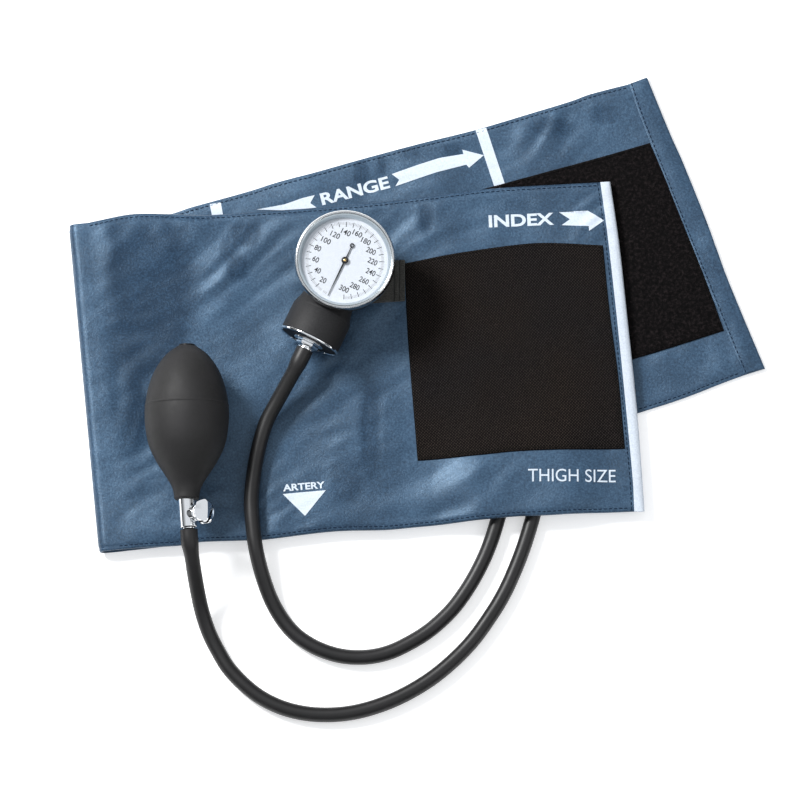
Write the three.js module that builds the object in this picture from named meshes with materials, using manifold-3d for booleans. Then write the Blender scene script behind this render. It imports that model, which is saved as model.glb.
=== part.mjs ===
// Aneroid blood pressure cuff, thigh size: a folded cloth cuff with its bladder, a dial gauge
// hooked on the cuff's webbing loop, a squeeze bulb with an air release valve, and two hoses.
// Millimetres, +Z up. The cuff lies folded on a table at Z = 0, tail underneath, and the
// origin is on the tail's underside.
import * as THREE from 'three';
import { mergeVertices } from 'three/addons/utils/BufferGeometryUtils.js';
import Module from 'manifold-3d';

const wasm = await Module();
wasm.setup();

// ---- driving dimensions ----
const GAP = 0.3;                 // clearance between pieces that touch
const PLY = 1.0;                 // thickness of one layer of coated cloth
const PATCH = 1.5;               // thickness of the hook and loop patches
const TAPE = 0.4;                // thickness of the index strip and of the tail's hem

const TAIL_FACE_Z = 0;           // undersides of the layers, from the table up
const TAIL_BACK_Z = 1.4;
const LOOP_PATCH_Z = 2.8;
const FRONT_BACK_Z = 5.4;
const BLADDER_Z = 6.9;
const BLADDER_THICK = 1.2;
const FRONT_FACE_Z = 8.6;
const FRONT_TOP = FRONT_FACE_Z + PLY;
const HOOK_PATCH_Z = FRONT_TOP + 0.9;

// The fold runs along the left edge, and the tail hinges about it.
const FOLD_TOP = [-178.0, 97.2];
const FOLD_BOTTOM = [-161.0, -85.2];
const FOLD_RADIUS = FRONT_TOP / 2 - 0.1;
const FOLD_THICK = 2.2;
const FOLD_CLEAR = 5.4;          // the layers start this far from the fold's axis

// Corners of the front half and the tail, seen from above.
const FRONT_TOP_RIGHT = [115.2, 120.6];
const FRONT_BOTTOM_RIGHT = [134.0, -63.6];
const TAIL_TOP_RIGHT = [135.9, 180.8];
const TAIL_BOTTOM_RIGHT = [200.5, 17.3];

const COLUMNS = 16;              // facets across and up the front half's layers
const ROWS = 9;
const HOOK_COLUMNS = 10;
const HOOK_ROWS = 8;

// The front half rises over the hose ends, near the middle of its lower edge.
const RISE = 4.2;
const RISE_CENTRE_X = 66;
const RISE_FLAT_X = 22;
const RISE_END_X = 44;
const RISE_FLAT_Y = -30;
const RISE_END_Y = 4;

// A bladder port is a stub in line with its hose and a spigot up to the bladder.
const PORT_RADIUS = 4.5;
const PORT_LENGTH = 11;
const PORT_Z = 4.7;
const SPIGOT_RADIUS = 3.0;
const BLADDER_LIFTED = BLADDER_Z + RISE;

const HOSE_RADIUS = 4.125;
const HOSE_SIDES = 8;
const HOSE_STEP = 14;            // length of one straight piece of the hose

const GAUGE_CENTRE = [-30.5, 69.8];
const GAUGE_TURN = THREE.MathUtils.degToRad(-25.5);
const DRUM_RADIUS = 16.9;
const BASE_RADIUS = 17.3;
const DRUM_AXIS_Z = FRONT_TOP + GAP + BASE_RADIUS;
const BASE_Y = -46.5;            // outer face of the gauge's base plate
const HOSE_START_Y = -51.0;
const HEAD_RADIUS = 26;
const HEAD_FLOOR_Z = 24;
const BEZEL_RADIUS = 27.7;
const BEZEL_INNER = 25.3;
const BEZEL_Z = 44.9;
const BEZEL_TOP = 50.4;
const DIAL_Z = 45.2;
const POINTER_Z = 47.0;
const POINTER_THICK = 0.4;
const CRYSTAL_Z = 48.4;
const CAPSULE_Y = -43.6;         // lower end of the pressure capsule
const PLATE_Z = 28.9;            // movement plate
const GEAR_Z = 31.5;
const GEAR_TOP = 34.5;
const SHAFT_FOOT = PLATE_Z + 1 + GAP;
const ARBOR_RADIUS = 0.8;
const SECTOR_PIVOT_X = 15.8;
const SECTOR_RADIUS = 13.2;
const PINION_RADIUS = SECTOR_RADIUS / 6;

const BULB_NECK = [-117.2, -60.9];
const BULB_RADIUS = 23.2;
const BULB_WALL = 2.5;
const BULB_AXIS_Z = FRONT_TOP + GAP + BULB_RADIUS;
const BULB_END = 85.2;           // neck to far end
const VALVE_TURN = THREE.MathUtils.degToRad(4);
const VALVE_RADIUS = 4.35;
const VALVE_LENGTH = 16.3;
const KNOB_Y = -8.4;
const KNOB_TILT = THREE.MathUtils.degToRad(35);
const KNOB_RADIUS = 6.3;

// ---- materials ----
const material = (color, roughness, metalness) =>
  new THREE.MeshStandardMaterial({ color, roughness, metalness });
const navyNylon = material(0x46627f, 0.5, 0);
const blackHook = material(0x17150f, 0.9, 0);
const blackLoop = material(0x151210, 1, 0);
const whiteTape = material(0xe8eef6, 0.7, 0);
const webbing = material(0x24261f, 0.85, 0);
const bladderRubber = material(0x2b2b2c, 0.7, 0);
const hoseRubber = material(0x333436, 0.6, 0);
const caseEnamel = material(0x26272a, 0.55, 0.1);
const chrome = material(0xd5d7da, 0.12, 1);
const steel = material(0xa9abae, 0.35, 1);
const brass = material(0xb8923f, 0.3, 1);
const dialWhite = material(0xf2f2ef, 0.6, 0);
const blackPaint = material(0x101112, 0.5, 0);
const clear = material(0xffffff, 0.05, 0);

// ---- helpers ----
const cuff = new THREE.Group();

function add(name, geometry, look, parent = cuff) {
  const mesh = new THREE.Mesh(geometry, look);
  mesh.name = name;
  parent.add(mesh);
  return mesh;
}

function outline(points) {
  return new THREE.Shape(points.map(([x, y]) => new THREE.Vector2(x, y)));
}

function slab(shape, low, high, curveSegments = 12) {
  const geometry = new THREE.ExtrudeGeometry(shape, {
    depth: high - low, bevelEnabled: false, curveSegments,
  });
  return geometry.translate(0, 0, low);
}

function lathe(profile, segments = 24) {
  return new THREE.LatheGeometry(profile.map(([r, h]) => new THREE.Vector2(r, h)), segments);
}

const latheUp = (profile, segments) => lathe(profile, segments).rotateX(Math.PI / 2);

// A rod or a ring between two heights on the lathe's axis.
const rod = (radius, low, high) => [[0, low], [radius, low], [radius, high], [0, high]];
const ring = (inner, outer, low, high) =>
  [[inner, low], [outer, low], [outer, high], [inner, high], [inner, low]];

function toSolid(geometry) {
  const bare = geometry.clone();
  bare.deleteAttribute('normal');
  bare.deleteAttribute('uv');
  const merged = mergeVertices(bare, 1e-4);
  const corners = merged.index.array;
  const triVerts = [];
  for (let i = 0; i < corners.length; i += 3) {
    const [a, b, c] = corners.slice(i, i + 3);
    if (a !== b && b !== c && c !== a) triVerts.push(a, b, c);
  }
  return new wasm.Manifold(new wasm.Mesh({
    numProp: 3,
    vertProperties: new Float32Array(merged.attributes.position.array),
    triVerts: new Uint32Array(triVerts),
  }));
}

function fromSolid(solid) {
  const { vertProperties, triVerts } = solid.getMesh();
  const geometry = new THREE.BufferGeometry();
  geometry.setAttribute('position', new THREE.BufferAttribute(vertProperties, 3));
  geometry.setIndex(new THREE.BufferAttribute(triVerts, 1));
  return geometry;
}

function joinAndCut(joined, cuts = []) {
  let solid = toSolid(joined[0]);
  for (const geometry of joined.slice(1)) solid = solid.add(toSolid(geometry));
  for (const geometry of cuts) solid = solid.subtract(toSolid(geometry));
  return fromSolid(solid);
}

const mix = (a, b, t) => a + (b - a) * t;
const between = (p, q, t) => [mix(p[0], q[0], t), mix(p[1], q[1], t)];

// ---- cloth layers ----
const foldAlong = new THREE.Vector2(FOLD_TOP[0] - FOLD_BOTTOM[0], FOLD_TOP[1] - FOLD_BOTTOM[1]);
const foldLength = foldAlong.length();
foldAlong.normalize();
const foldAcross = [foldAlong.y, -foldAlong.x];
const offFold = (point, distance) =>
  [point[0] + foldAcross[0] * distance, point[1] + foldAcross[1] * distance];

function rise(x, y) {
  const away = Math.abs(x - RISE_CENTRE_X);
  const acrossX = 1 - THREE.MathUtils.smoothstep(away, RISE_FLAT_X, RISE_END_X);
  const acrossY = 1 - THREE.MathUtils.smoothstep(y, RISE_FLAT_Y, RISE_END_Y);
  return RISE * acrossX * acrossY;
}

// A closed layer over a four-cornered outline, which follows the rise. It covers the whole
// outline, or only the part between two fractions of its width and of its height.
function layer(corners, low, thick, columns, rows, acrossSpan = [0, 1], upSpan = [0, 1]) {
  const [topLeft, topRight, bottomRight, bottomLeft] = corners;
  const positions = [];
  const index = [];
  const at = (i, j, top) => (top ? (columns + 1) * (rows + 1) : 0) + j * (columns + 1) + i;
  for (const base of [low, low + thick]) {
    for (let j = 0; j <= rows; j += 1) {
      const up = mix(...upSpan, j / rows);
      const left = between(bottomLeft, topLeft, up);
      const right = between(bottomRight, topRight, up);
      for (let i = 0; i <= columns; i += 1) {
        const [x, y] = between(left, right, mix(...acrossSpan, i / columns));
        positions.push(x, y, base + rise(x, y));
      }
    }
  }
  const quad = (a, b, c, d) => index.push(a, b, c, a, c, d);
  for (let j = 0; j < rows; j += 1) {
    for (let i = 0; i < columns; i += 1) {
      quad(at(i, j, true), at(i + 1, j, true), at(i + 1, j + 1, true), at(i, j + 1, true));
      quad(at(i, j, false), at(i, j + 1, false), at(i + 1, j + 1, false), at(i + 1, j, false));
    }
  }
  for (let i = 0; i < columns; i += 1) {
    quad(at(i, 0, false), at(i + 1, 0, false), at(i + 1, 0, true), at(i, 0, true));
    quad(at(i, rows, true), at(i + 1, rows, true), at(i + 1, rows, false), at(i, rows, false));
  }
  for (let j = 0; j < rows; j += 1) {
    quad(at(0, j, true), at(0, j + 1, true), at(0, j + 1, false), at(0, j, false));
    quad(at(columns, j, false), at(columns, j + 1, false),
      at(columns, j + 1, true), at(columns, j, true));
  }
  const geometry = new THREE.BufferGeometry();
  geometry.setAttribute('position', new THREE.Float32BufferAttribute(positions, 3));
  geometry.setIndex(index);
  return geometry;
}

const frontOutline = [
  offFold(FOLD_TOP, FOLD_CLEAR), FRONT_TOP_RIGHT,
  FRONT_BOTTOM_RIGHT, offFold(FOLD_BOTTOM, FOLD_CLEAR),
];
const hookOutline = [[2.3, 74.8], [111.4, 85.2], [123.3, -28.6], [9.4, -35.2]];

// ---- hose routes, from the fitting to the bladder port ----
const gaugeHoseRoute = [
  [-52.5, 23.8, 27.2], [-55.2, 18.2, 27.0], [-58.2, 12.4, 25.6], [-62.7, 4.8, 22.4],
  [-67.8, -3.9, 19.0], [-73.9, -15.4, 16.0], [-78.2, -30.0, 14.5], [-80.7, -44.4, 14.2],
  [-81.9, -58.1, 14.2], [-81.1, -72.0, 14.3], [-79.3, -85.4, 13.7], [-75.9, -98.8, 10.3],
  [-71.2, -111.6, 6.4], [-65.0, -122.6, 4.7], [-57.9, -130.9, 4.4], [-49.5, -136.9, 4.4],
  [-41.0, -140.8, 4.4], [-32.6, -143.1, 4.4], [-24.2, -143.9, 4.4], [-15.6, -143.4, 4.4],
  [-7.0, -141.4, 4.4], [1.8, -137.6, 4.4], [13.0, -131.0, 4.4], [22.0, -123.7, 4.4],
  [30.3, -114.9, 4.4], [38.5, -102.9, 4.4], [45.2, -90.2, 4.4], [49.9, -78.6, 4.4],
  [53.3, -67.6, 4.4], [56.0, -57.6, 4.4], [58.0, -49.4, 4.4],
];
const bulbHoseRoute = [
  [-116.0, -77.5, 33.0], [-115.5, -84.2, 32.2], [-114.4, -91.6, 29.0], [-113.0, -100.2, 22.8],
  [-111.2, -109.6, 15.8], [-108.9, -119.4, 9.8], [-105.3, -129.9, 5.9], [-100.2, -140.2, 4.5],
  [-93.3, -151.2, 4.4], [-81.8, -162.5, 4.4], [-71.0, -169.3, 4.4], [-58.6, -173.8, 4.4],
  [-44.0, -175.8, 4.4], [-27.5, -174.8, 4.4], [-11.0, -170.4, 4.4], [5.5, -162.9, 4.4],
  [22.0, -151.8, 4.4], [38.2, -136.2, 4.4], [50.4, -119.3, 4.4], [57.4, -107.2, 4.4],
  [62.6, -95.7, 4.4], [67.0, -84.3, 4.4], [70.6, -73.2, 4.4], [73.6, -62.4, 4.4],
  [76.0, -52.8, 4.4],
];

function hose(name, route) {
  const path = new THREE.CatmullRomCurve3(route.map((p) => new THREE.Vector3(...p)));
  const section = new THREE.Shape();
  for (let i = 0; i < HOSE_SIDES; i += 1) {
    const angle = (2 * Math.PI * i) / HOSE_SIDES;
    const [x, y] = [HOSE_RADIUS * Math.cos(angle), HOSE_RADIUS * Math.sin(angle)];
    if (i === 0) section.moveTo(x, y);
    else section.lineTo(x, y);
  }
  const steps = Math.round(path.getLength() / HOSE_STEP);
  add(name, new THREE.ExtrudeGeometry(section, { steps, extrudePath: path }), hoseRubber);
}

// ---- bladder ports: a flat stub in line with each hose, and a spigot up to the bladder ----
function portSpigot(route) {
  const [near, end] = route.slice(-2).map((p) => new THREE.Vector2(p[0], p[1]));
  const along = end.clone().sub(near).normalize();
  const spigot = end.clone().addScaledVector(along, GAP + PORT_LENGTH - PORT_RADIUS);
  return { along, end, spigot };
}

function bladderPort(name, route) {
  const { along, end, spigot } = portSpigot(route);
  const stub = lathe(rod(PORT_RADIUS, GAP, GAP + PORT_LENGTH), 14);
  stub.rotateZ(Math.atan2(along.y, along.x) - Math.PI / 2);
  stub.translate(end.x, end.y, PORT_Z);
  const riser = latheUp(rod(SPIGOT_RADIUS, PORT_Z, BLADDER_LIFTED - GAP), 12);
  riser.translate(spigot.x, spigot.y, 0);
  add(name, joinAndCut([stub, riser]), bladderRubber);
}

function spigotHole(route) {
  const { spigot } = portSpigot(route);
  return latheUp(rod(SPIGOT_RADIUS + GAP, 2, 14), 12).translate(spigot.x, spigot.y, 0);
}

// ---- the cuff's front half ----
function frontHalf() {
  const back = layer(frontOutline, FRONT_BACK_Z, PLY, COLUMNS, ROWS);
  const holes = [gaugeHoseRoute, bulbHoseRoute].map(spigotHole);
  add('front_back_cover', joinAndCut([back], holes), navyNylon);
  const bladder = layer(
    frontOutline, BLADDER_Z, BLADDER_THICK, COLUMNS - 3, ROWS - 2,
    [2 / COLUMNS, 1 - 1 / COLUMNS], [1 / ROWS, 1 - 1 / ROWS],
  );
  add('bladder', bladder, bladderRubber);
  add('front_face_cover', layer(frontOutline, FRONT_FACE_Z, PLY, COLUMNS, ROWS), navyNylon);
  add('hook_patch', layer(
    hookOutline, HOOK_PATCH_Z, PATCH, HOOK_COLUMNS, HOOK_ROWS,
  ), blackHook);
  const strip = outline([
    [109.4, 119.8], [114.9, 120.2], [133.7, -63.2], [127.8, -63.5],
  ].reverse());
  add('index_strip', slab(strip, FRONT_TOP + GAP, FRONT_TOP + GAP + TAPE), whiteTape);
  bladderPort('bladder_port_gauge', gaugeHoseRoute);
  bladderPort('bladder_port_bulb', bulbHoseRoute);
}

// The two layers bend round the fold's axis together, and reach the front half's edge.
function coverFold() {
  const inner = FOLD_RADIUS - FOLD_THICK;
  const reach = FOLD_CLEAR - GAP;
  const section = new THREE.Shape();
  section.moveTo(reach, FOLD_RADIUS);
  section.lineTo(0, FOLD_RADIUS);
  section.absarc(0, 0, FOLD_RADIUS, Math.PI / 2, 1.5 * Math.PI, false);
  section.lineTo(0, -inner);
  section.absarc(0, 0, inner, 1.5 * Math.PI, Math.PI / 2, true);
  section.lineTo(reach, inner);
  section.closePath();
  const bend = new THREE.ExtrudeGeometry(section, {
    depth: foldLength, bevelEnabled: false, curveSegments: 12,
  });
  bend.rotateX(Math.PI / 2);
  bend.rotateZ(Math.atan2(foldAlong.y, foldAlong.x) - Math.PI / 2);
  bend.translate(FOLD_TOP[0], FOLD_TOP[1], FRONT_TOP / 2);
  add('cover_fold', bend, navyNylon);
}

// ---- the cuff's tail ----
function tail() {
  const shape = outline([
    offFold(FOLD_BOTTOM, FOLD_CLEAR), [-60, -71], [45, -36], TAIL_BOTTOM_RIGHT,
    TAIL_TOP_RIGHT, [-128, 102.6], offFold(FOLD_TOP, FOLD_CLEAR),
  ]);
  add('tail_face_cover', slab(shape, TAIL_FACE_Z, TAIL_FACE_Z + PLY), navyNylon);
  add('tail_back_cover', slab(shape, TAIL_BACK_Z, TAIL_BACK_Z + PLY), navyNylon);
  const patch = outline([[83.5, 8.4], [178, 38.4], [137.3, 143.4], [42.9, 116.9]]);
  add('loop_patch', slab(patch, LOOP_PATCH_Z, LOOP_PATCH_Z + PATCH), blackLoop);
  const hem = outline([[188.6, 14.2], [199.9, 17.4], [135.5, 180.2], [125.4, 177.3]]);
  add('tail_hem', slab(hem, LOOP_PATCH_Z, LOOP_PATCH_Z + TAPE), navyNylon);
}

// ---- webbing loop that the gauge hooks on ----
function gaugeLoop() {
  const low = FRONT_TOP + GAP;
  const section = outline([[-44, 0], [2, 0], [2, 1], [-6, 1], [-6, 4.2], [-44, 4.2]]);
  section.holes.push(outline([[-43, 1], [-43, 3.2], [-8, 3.2], [-8, 1]]));
  const geometry = new THREE.ExtrudeGeometry(section, { depth: 22, bevelEnabled: false });
  geometry.rotateX(Math.PI / 2);
  geometry.translate(0, 74.6, low);
  add('gauge_loop', geometry, webbing);
}

// ---- gauge: its own group, dial axis along Z, drum towards -Y ----
const gauge = new THREE.Group();
gauge.position.set(GAUGE_CENTRE[0], GAUGE_CENTRE[1], 0);
gauge.rotation.z = GAUGE_TURN;
cuff.add(gauge);

function drumPart(profile, segments = 28) {
  return lathe(profile, segments).translate(0, 0, DRUM_AXIS_Z);
}

function gaugeCase() {
  const head = latheUp(rod(HEAD_RADIUS, HEAD_FLOOR_Z, BEZEL_Z - GAP), 36);
  const drumEnd = BASE_Y + 1.5 + GAP;
  const drum = drumPart([
    [0, drumEnd], [DRUM_RADIUS, drumEnd], [DRUM_RADIUS, -31], [15.6, -28], [12.5, -25], [0, -22],
  ]);
  const headInside = latheUp(rod(HEAD_RADIUS - 2, HEAD_FLOOR_Z + 1.5, BEZEL_Z + 5), 36);
  const drumInside = drumPart(rod(DRUM_RADIUS - 1.8, drumEnd - 5, -30));
  const rodHole = drumPart(rod(2.5, -35, -18), 10);
  add('gauge_case', joinAndCut([head, drum], [headInside, drumInside, rodHole]),
    caseEnamel, gauge);
}

function gaugeBase() {
  add('base_plate', drumPart(rod(BASE_RADIUS, BASE_Y, BASE_Y + 1.5)), chrome, gauge);
  const hexagon = [];
  for (let i = 0; i < 6; i += 1) {
    const angle = (Math.PI * i) / 3;
    hexagon.push([5.3 * Math.cos(angle), 5.3 * Math.sin(angle)]);
  }
  const nut = outline(hexagon);
  nut.holes.push(new THREE.Path().absarc(0, 0, 2.8, 0, 2 * Math.PI, true));
  const nutSolid = slab(nut, 0, 2.4).rotateX(Math.PI / 2);
  nutSolid.translate(0, BASE_Y - GAP, DRUM_AXIS_Z);
  add('stem_nut', nutSolid, chrome, gauge);
  add('gauge_stem', drumPart(rod(2.4, HOSE_START_Y + GAP, BASE_Y - GAP), 14), chrome, gauge);
}

function gaugeFront() {
  const rim = [
    [BEZEL_INNER, BEZEL_Z], [27.2, BEZEL_Z], [BEZEL_RADIUS, BEZEL_Z + 1],
    [BEZEL_RADIUS, BEZEL_TOP - 1.8], [26.7, BEZEL_TOP], [BEZEL_INNER, BEZEL_TOP],
    [BEZEL_INNER, BEZEL_Z],
  ];
  add('bezel', latheUp(rim, 36), chrome, gauge);
  const inside = BEZEL_INNER - GAP;
  add('crystal', latheUp(rod(inside, CRYSTAL_Z, CRYSTAL_Z + 1.2), 32), clear, gauge);
  add('dial', latheUp(ring(1.6, inside, DIAL_Z, DIAL_Z + 0.8), 32), dialWhite, gauge);
}

// Corrugated capsule that swells with the cuff pressure and pushes the rod.
function capsule() {
  const waves = 3;
  const pitch = 4;
  const top = CAPSULE_Y + waves * pitch;
  const profile = [[0, CAPSULE_Y]];
  for (let i = 0; i < waves; i += 1) {
    const y = CAPSULE_Y + i * pitch;
    profile.push([10.5, y], [13.6, y + 1.2], [13.6, y + 2.8]);
  }
  profile.push([10.5, top], [0, top]);
  add('pressure_capsule', drumPart(profile, 20), brass, gauge);
  add('push_rod', drumPart(rod(1.0, top + 0.4, -14), 10), steel, gauge);
}

function movement() {
  const plate = latheUp(rod(21, PLATE_Z, PLATE_Z + 1), 24);
  const pillars = [20, 140, 260].map((degrees) => {
    const angle = THREE.MathUtils.degToRad(degrees);
    const pillar = latheUp(rod(1.6, HEAD_FLOOR_Z + 1.5 + GAP, PLATE_Z + 0.3), 8);
    return pillar.translate(17.5 * Math.cos(angle), 17.5 * Math.sin(angle), 0);
  });
  add('movement_plate', joinAndCut([plate, ...pillars]), brass, gauge);

  const sector = new THREE.Shape();
  const start = THREE.MathUtils.degToRad(120);
  const end = THREE.MathUtils.degToRad(184);
  const hubStart = end + 0.9;
  const hubEnd = start + 2 * Math.PI - 0.9;
  sector.absarc(0, 0, SECTOR_RADIUS, start, end, false);
  sector.absarc(0, 0, 3.2, hubStart, hubEnd, false);
  sector.closePath();
  sector.holes.push(new THREE.Path().absarc(0, 0, 1.5, 0, 2 * Math.PI, true));
  const sectorSolid = slab(sector, GEAR_Z, GEAR_TOP, 6).translate(SECTOR_PIVOT_X, 0, 0);
  add('sector_gear', sectorSolid, brass, gauge);
  const shaft = latheUp(rod(1.2, SHAFT_FOOT, 38), 10).translate(SECTOR_PIVOT_X, 0, 0);
  add('sector_shaft', shaft, steel, gauge);

  add('pointer_arbor', latheUp(rod(ARBOR_RADIUS, SHAFT_FOOT, POINTER_Z + 1), 10), brass, gauge);
  const pinion = ring(ARBOR_RADIUS + GAP, PINION_RADIUS, GEAR_Z, GEAR_TOP);
  add('pinion', latheUp(pinion, 14), brass, gauge);
  hairspring();
}

// A flat spiral strip round the arbor.
function hairspring() {
  const turns = 2;
  const steps = 30;
  const edge = (offset) => Array.from({ length: steps + 1 }, (_, i) => {
    const angle = (turns * 2 * Math.PI * i) / steps;
    const radius = 1.8 + (5 * i) / steps + offset;
    return [radius * Math.cos(angle), radius * Math.sin(angle)];
  });
  const strip = outline([...edge(0.4), ...edge(0).reverse()]);
  add('hairspring', slab(strip, 37, 38), steel, gauge);
}

// The pointer rests at zero, at the foot of the dial, with a ring as its counterweight.
function pointer() {
  const blade = outline([
    [-0.75, 3.3], [-0.6, 6.6], [0.6, 6.6], [0.75, 3.3],
    [2.3, 0], [0.8, -4], [0.3, -21.5], [-0.3, -21.5], [-0.8, -4], [-2.3, 0],
  ].reverse());
  const top = POINTER_Z + POINTER_THICK;
  const weight = latheUp(ring(1.0, 1.7, POINTER_Z, top), 14).translate(0, 8.0, 0);
  const eye = latheUp(rod(3.5, POINTER_Z, top), 16);
  const hole = latheUp(rod(2.5, POINTER_Z - 1, top + 1), 16);
  const flat = slab(blade, POINTER_Z, top);
  add('pointer', joinAndCut([flat, weight, eye], [hole]), blackPaint, gauge);
  const hub = ring(ARBOR_RADIUS + GAP, 2.2, POINTER_Z - 0.7, POINTER_Z + 0.7);
  add('pointer_hub', latheUp(hub, 16), blackPaint, gauge);
}

// Spring clip on the back of the head, its tongue through the webbing loop.
function hookClip() {
  const strip = outline([
    [-7, 23.7], [-7, 22.5], [16, 22.5], [16, 12.7], [-13.5, 12.7], [-13.5, 11.5],
    [17.2, 11.5], [17.2, 23.7],
  ]);
  const hook = slab(strip, -4, 4);
  hook.applyMatrix4(new THREE.Matrix4().set(0, 0, 1, 0, 1, 0, 0, 0, 0, 1, 0, 0, 0, 0, 0, 1));
  const pad = slab(outline([[-8, -6], [8, -6], [8, 6], [-8, 6]]), 22.5, 23.7);
  const screwHoles = [-6, 6].map((x) => latheUp(rod(1.3, 20, 25), 10).translate(x, 0, 0));
  add('hook_clip', joinAndCut([hook, pad], screwHoles), steel, gauge);
  for (const [side, x] of [['left', -6], ['right', 6]]) {
    const screw = latheUp([
      [0, 21.2], [1.9, 21.2], [1.9, 22.2], [1.0, 22.2], [1.0, 23.7], [0, 23.7],
    ], 12);
    add(`clip_screw_${side}`, screw.translate(x, 0, 0), steel, gauge);
  }
}

// ---- bulb: axis along Y, its neck towards -Y ----
function bulb() {
  const group = new THREE.Group();
  group.position.set(BULB_NECK[0], BULB_NECK[1], BULB_AXIS_Z);
  cuff.add(group);
  const side = new THREE.SplineCurve([
    [6.9, 0], [7.3, 4], [8.6, 8], [12.2, 14], [17.2, 22], [21.4, 32], [BULB_RADIUS, 46],
    [21.9, 59], [18.2, 70.5], [12.4, 79.5], [4.2, BULB_END],
  ].map(([r, y]) => new THREE.Vector2(r, y)));
  const outer = side.getPoints(15).map((p) => [p.x, p.y]);
  const inner = [
    [3.3, BULB_END], [3.3, BULB_END - BULB_WALL], [11, 77.6], [17.9, 64.5],
    [BULB_RADIUS - BULB_WALL, 46], [17.6, 29], [9.8, 15.6], [3.3, 5], [3.3, 0],
  ];
  add('bulb', lathe([...outer, ...inner, outer[0]], 28), hoseRubber, group);
  const inlet = [
    [1.0, 77.5], [2.9, 77.5], [2.9, BULB_END + GAP], [4.4, BULB_END + GAP],
    [4.4, BULB_END + 1.1], [1.0, BULB_END + 1.1], [1.0, BULB_END - 0.6], [1.9, BULB_END - 1.4],
    [1.9, 79.2], [1.0, 78.3], [1.0, 77.5],
  ];
  add('inlet_valve_body', lathe(inlet, 14), blackPaint, group);
  const ball = new THREE.SphereGeometry(1.4, 10, 6).translate(0, 83.2, 0);
  add('inlet_ball', ball, steel, group);
}

// ---- air release valve: body along -Y, thumb screw to the right and up ----
function valve() {
  const group = new THREE.Group();
  group.position.set(BULB_NECK[0], BULB_NECK[1], BULB_AXIS_Z);
  group.rotation.z = VALVE_TURN;
  cuff.add(group);
  const towardsKnob = (geometry) => {
    geometry.rotateZ(-Math.PI / 2);
    geometry.rotateY(-KNOB_TILT);
    return geometry.translate(0, KNOB_Y, 0);
  };
  const body = lathe([
    [0, -VALVE_LENGTH], [3.2, -VALVE_LENGTH], [3.2, -15], [VALVE_RADIUS, -14.6],
    [VALVE_RADIUS, -GAP], [0, -GAP],
  ], 20);
  const boss = towardsKnob(lathe(rod(3.3, 2, 6.6), 16));
  const channel = lathe(rod(1.6, -VALVE_LENGTH - 2, 2), 12);
  const screwBore = towardsKnob(lathe(rod(1.5, 0.5, 10), 12));
  add('valve_body', joinAndCut([body, boss], [channel, screwBore]), chrome, group);
  add('check_valve_disc', lathe(rod(1.25, -3.0, -2.4), 12), bladderRubber, group);
  add('valve_needle', towardsKnob(lathe([
    [0, 1.8], [0.4, 1.8], [1.1, 3.2], [1.1, 13.6], [0, 13.6],
  ], 12)), steel, group);
  add('needle_collar', towardsKnob(lathe(ring(1.4, 2.8, 6.9, 7.9), 14)), chrome, group);
  const knob = lathe(ring(1.4, KNOB_RADIUS, 8.3, 13.8), 20);
  add('thumb_screw', towardsKnob(knob), chrome, group);
}

frontHalf();
coverFold();
tail();
gaugeLoop();
gaugeCase();
gaugeBase();
gaugeFront();
capsule();
movement();
pointer();
hookClip();
bulb();
valve();
hose('gauge_hose', gaugeHoseRoute);
hose('bulb_hose', bulbHoseRoute);

export default cuff;
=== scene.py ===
"""An aneroid blood pressure cuff, thigh size, folded on a table.

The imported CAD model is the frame. The cloth, hoses, gauge, bulb and valve are made here in
finer detail, in the same place and at the same size. Lengths are in metres, and MM turns
millimetres into metres.
"""
import math

import bmesh
import bpy
import numpy as np
from mathutils import Matrix, Vector, noise
from mathutils.bvhtree import BVHTree


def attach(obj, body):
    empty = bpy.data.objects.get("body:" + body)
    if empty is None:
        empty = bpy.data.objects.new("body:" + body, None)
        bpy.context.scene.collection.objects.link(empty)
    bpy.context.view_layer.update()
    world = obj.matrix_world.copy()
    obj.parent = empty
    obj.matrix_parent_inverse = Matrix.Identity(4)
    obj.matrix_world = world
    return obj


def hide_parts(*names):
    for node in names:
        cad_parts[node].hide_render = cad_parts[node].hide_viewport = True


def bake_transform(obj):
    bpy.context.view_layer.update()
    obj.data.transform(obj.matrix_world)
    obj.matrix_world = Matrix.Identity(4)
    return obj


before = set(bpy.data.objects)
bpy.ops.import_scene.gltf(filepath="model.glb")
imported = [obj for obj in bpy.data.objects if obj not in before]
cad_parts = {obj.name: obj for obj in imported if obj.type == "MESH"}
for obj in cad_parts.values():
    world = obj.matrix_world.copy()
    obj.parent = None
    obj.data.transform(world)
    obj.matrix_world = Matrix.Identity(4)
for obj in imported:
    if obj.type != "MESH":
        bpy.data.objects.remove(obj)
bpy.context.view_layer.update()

MM = 0.001
scene = bpy.context.scene

# ---- places and sizes shared with the CAD model, in millimetres ----
FOLD_TOP = (-178.0, 97.2)
FOLD_BOTTOM = (-161.0, -85.2)
FOLD_Z = 4.8
FOLD_JOIN = 6.0            # the bend meets the front and the tail this far from the axis
GAUGE_CENTRE = (-30.5, 69.8)
GAUGE_TURN = -25.5
DRUM_AXIS_Z = 27.2
BULB_NECK = (-117.2, -60.9)
BULB_AXIS_Z = 33.1
VALVE_TURN = 4.0
KNOB_Y = -8.4
KNOB_TILT = 35.0
HOSE_DIAMETER = 8.25
RISE = 4.2                 # how far the front half lifts over the hose ends
RISE_CENTRE_X = 66.0
RISE_SIDES = (22, 50)      # it falls away between these distances from that centre
RISE_END = (-30, 6)        # and between these heights up the cuff

# ---- the hook tape's rows, which its material and its relief share ----
HOOK_PITCH = 1.65          # spacing of the rows, and of the zigzags along them
HOOK_SWING = 1.5           # how far a zigzag swings, in rows

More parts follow.
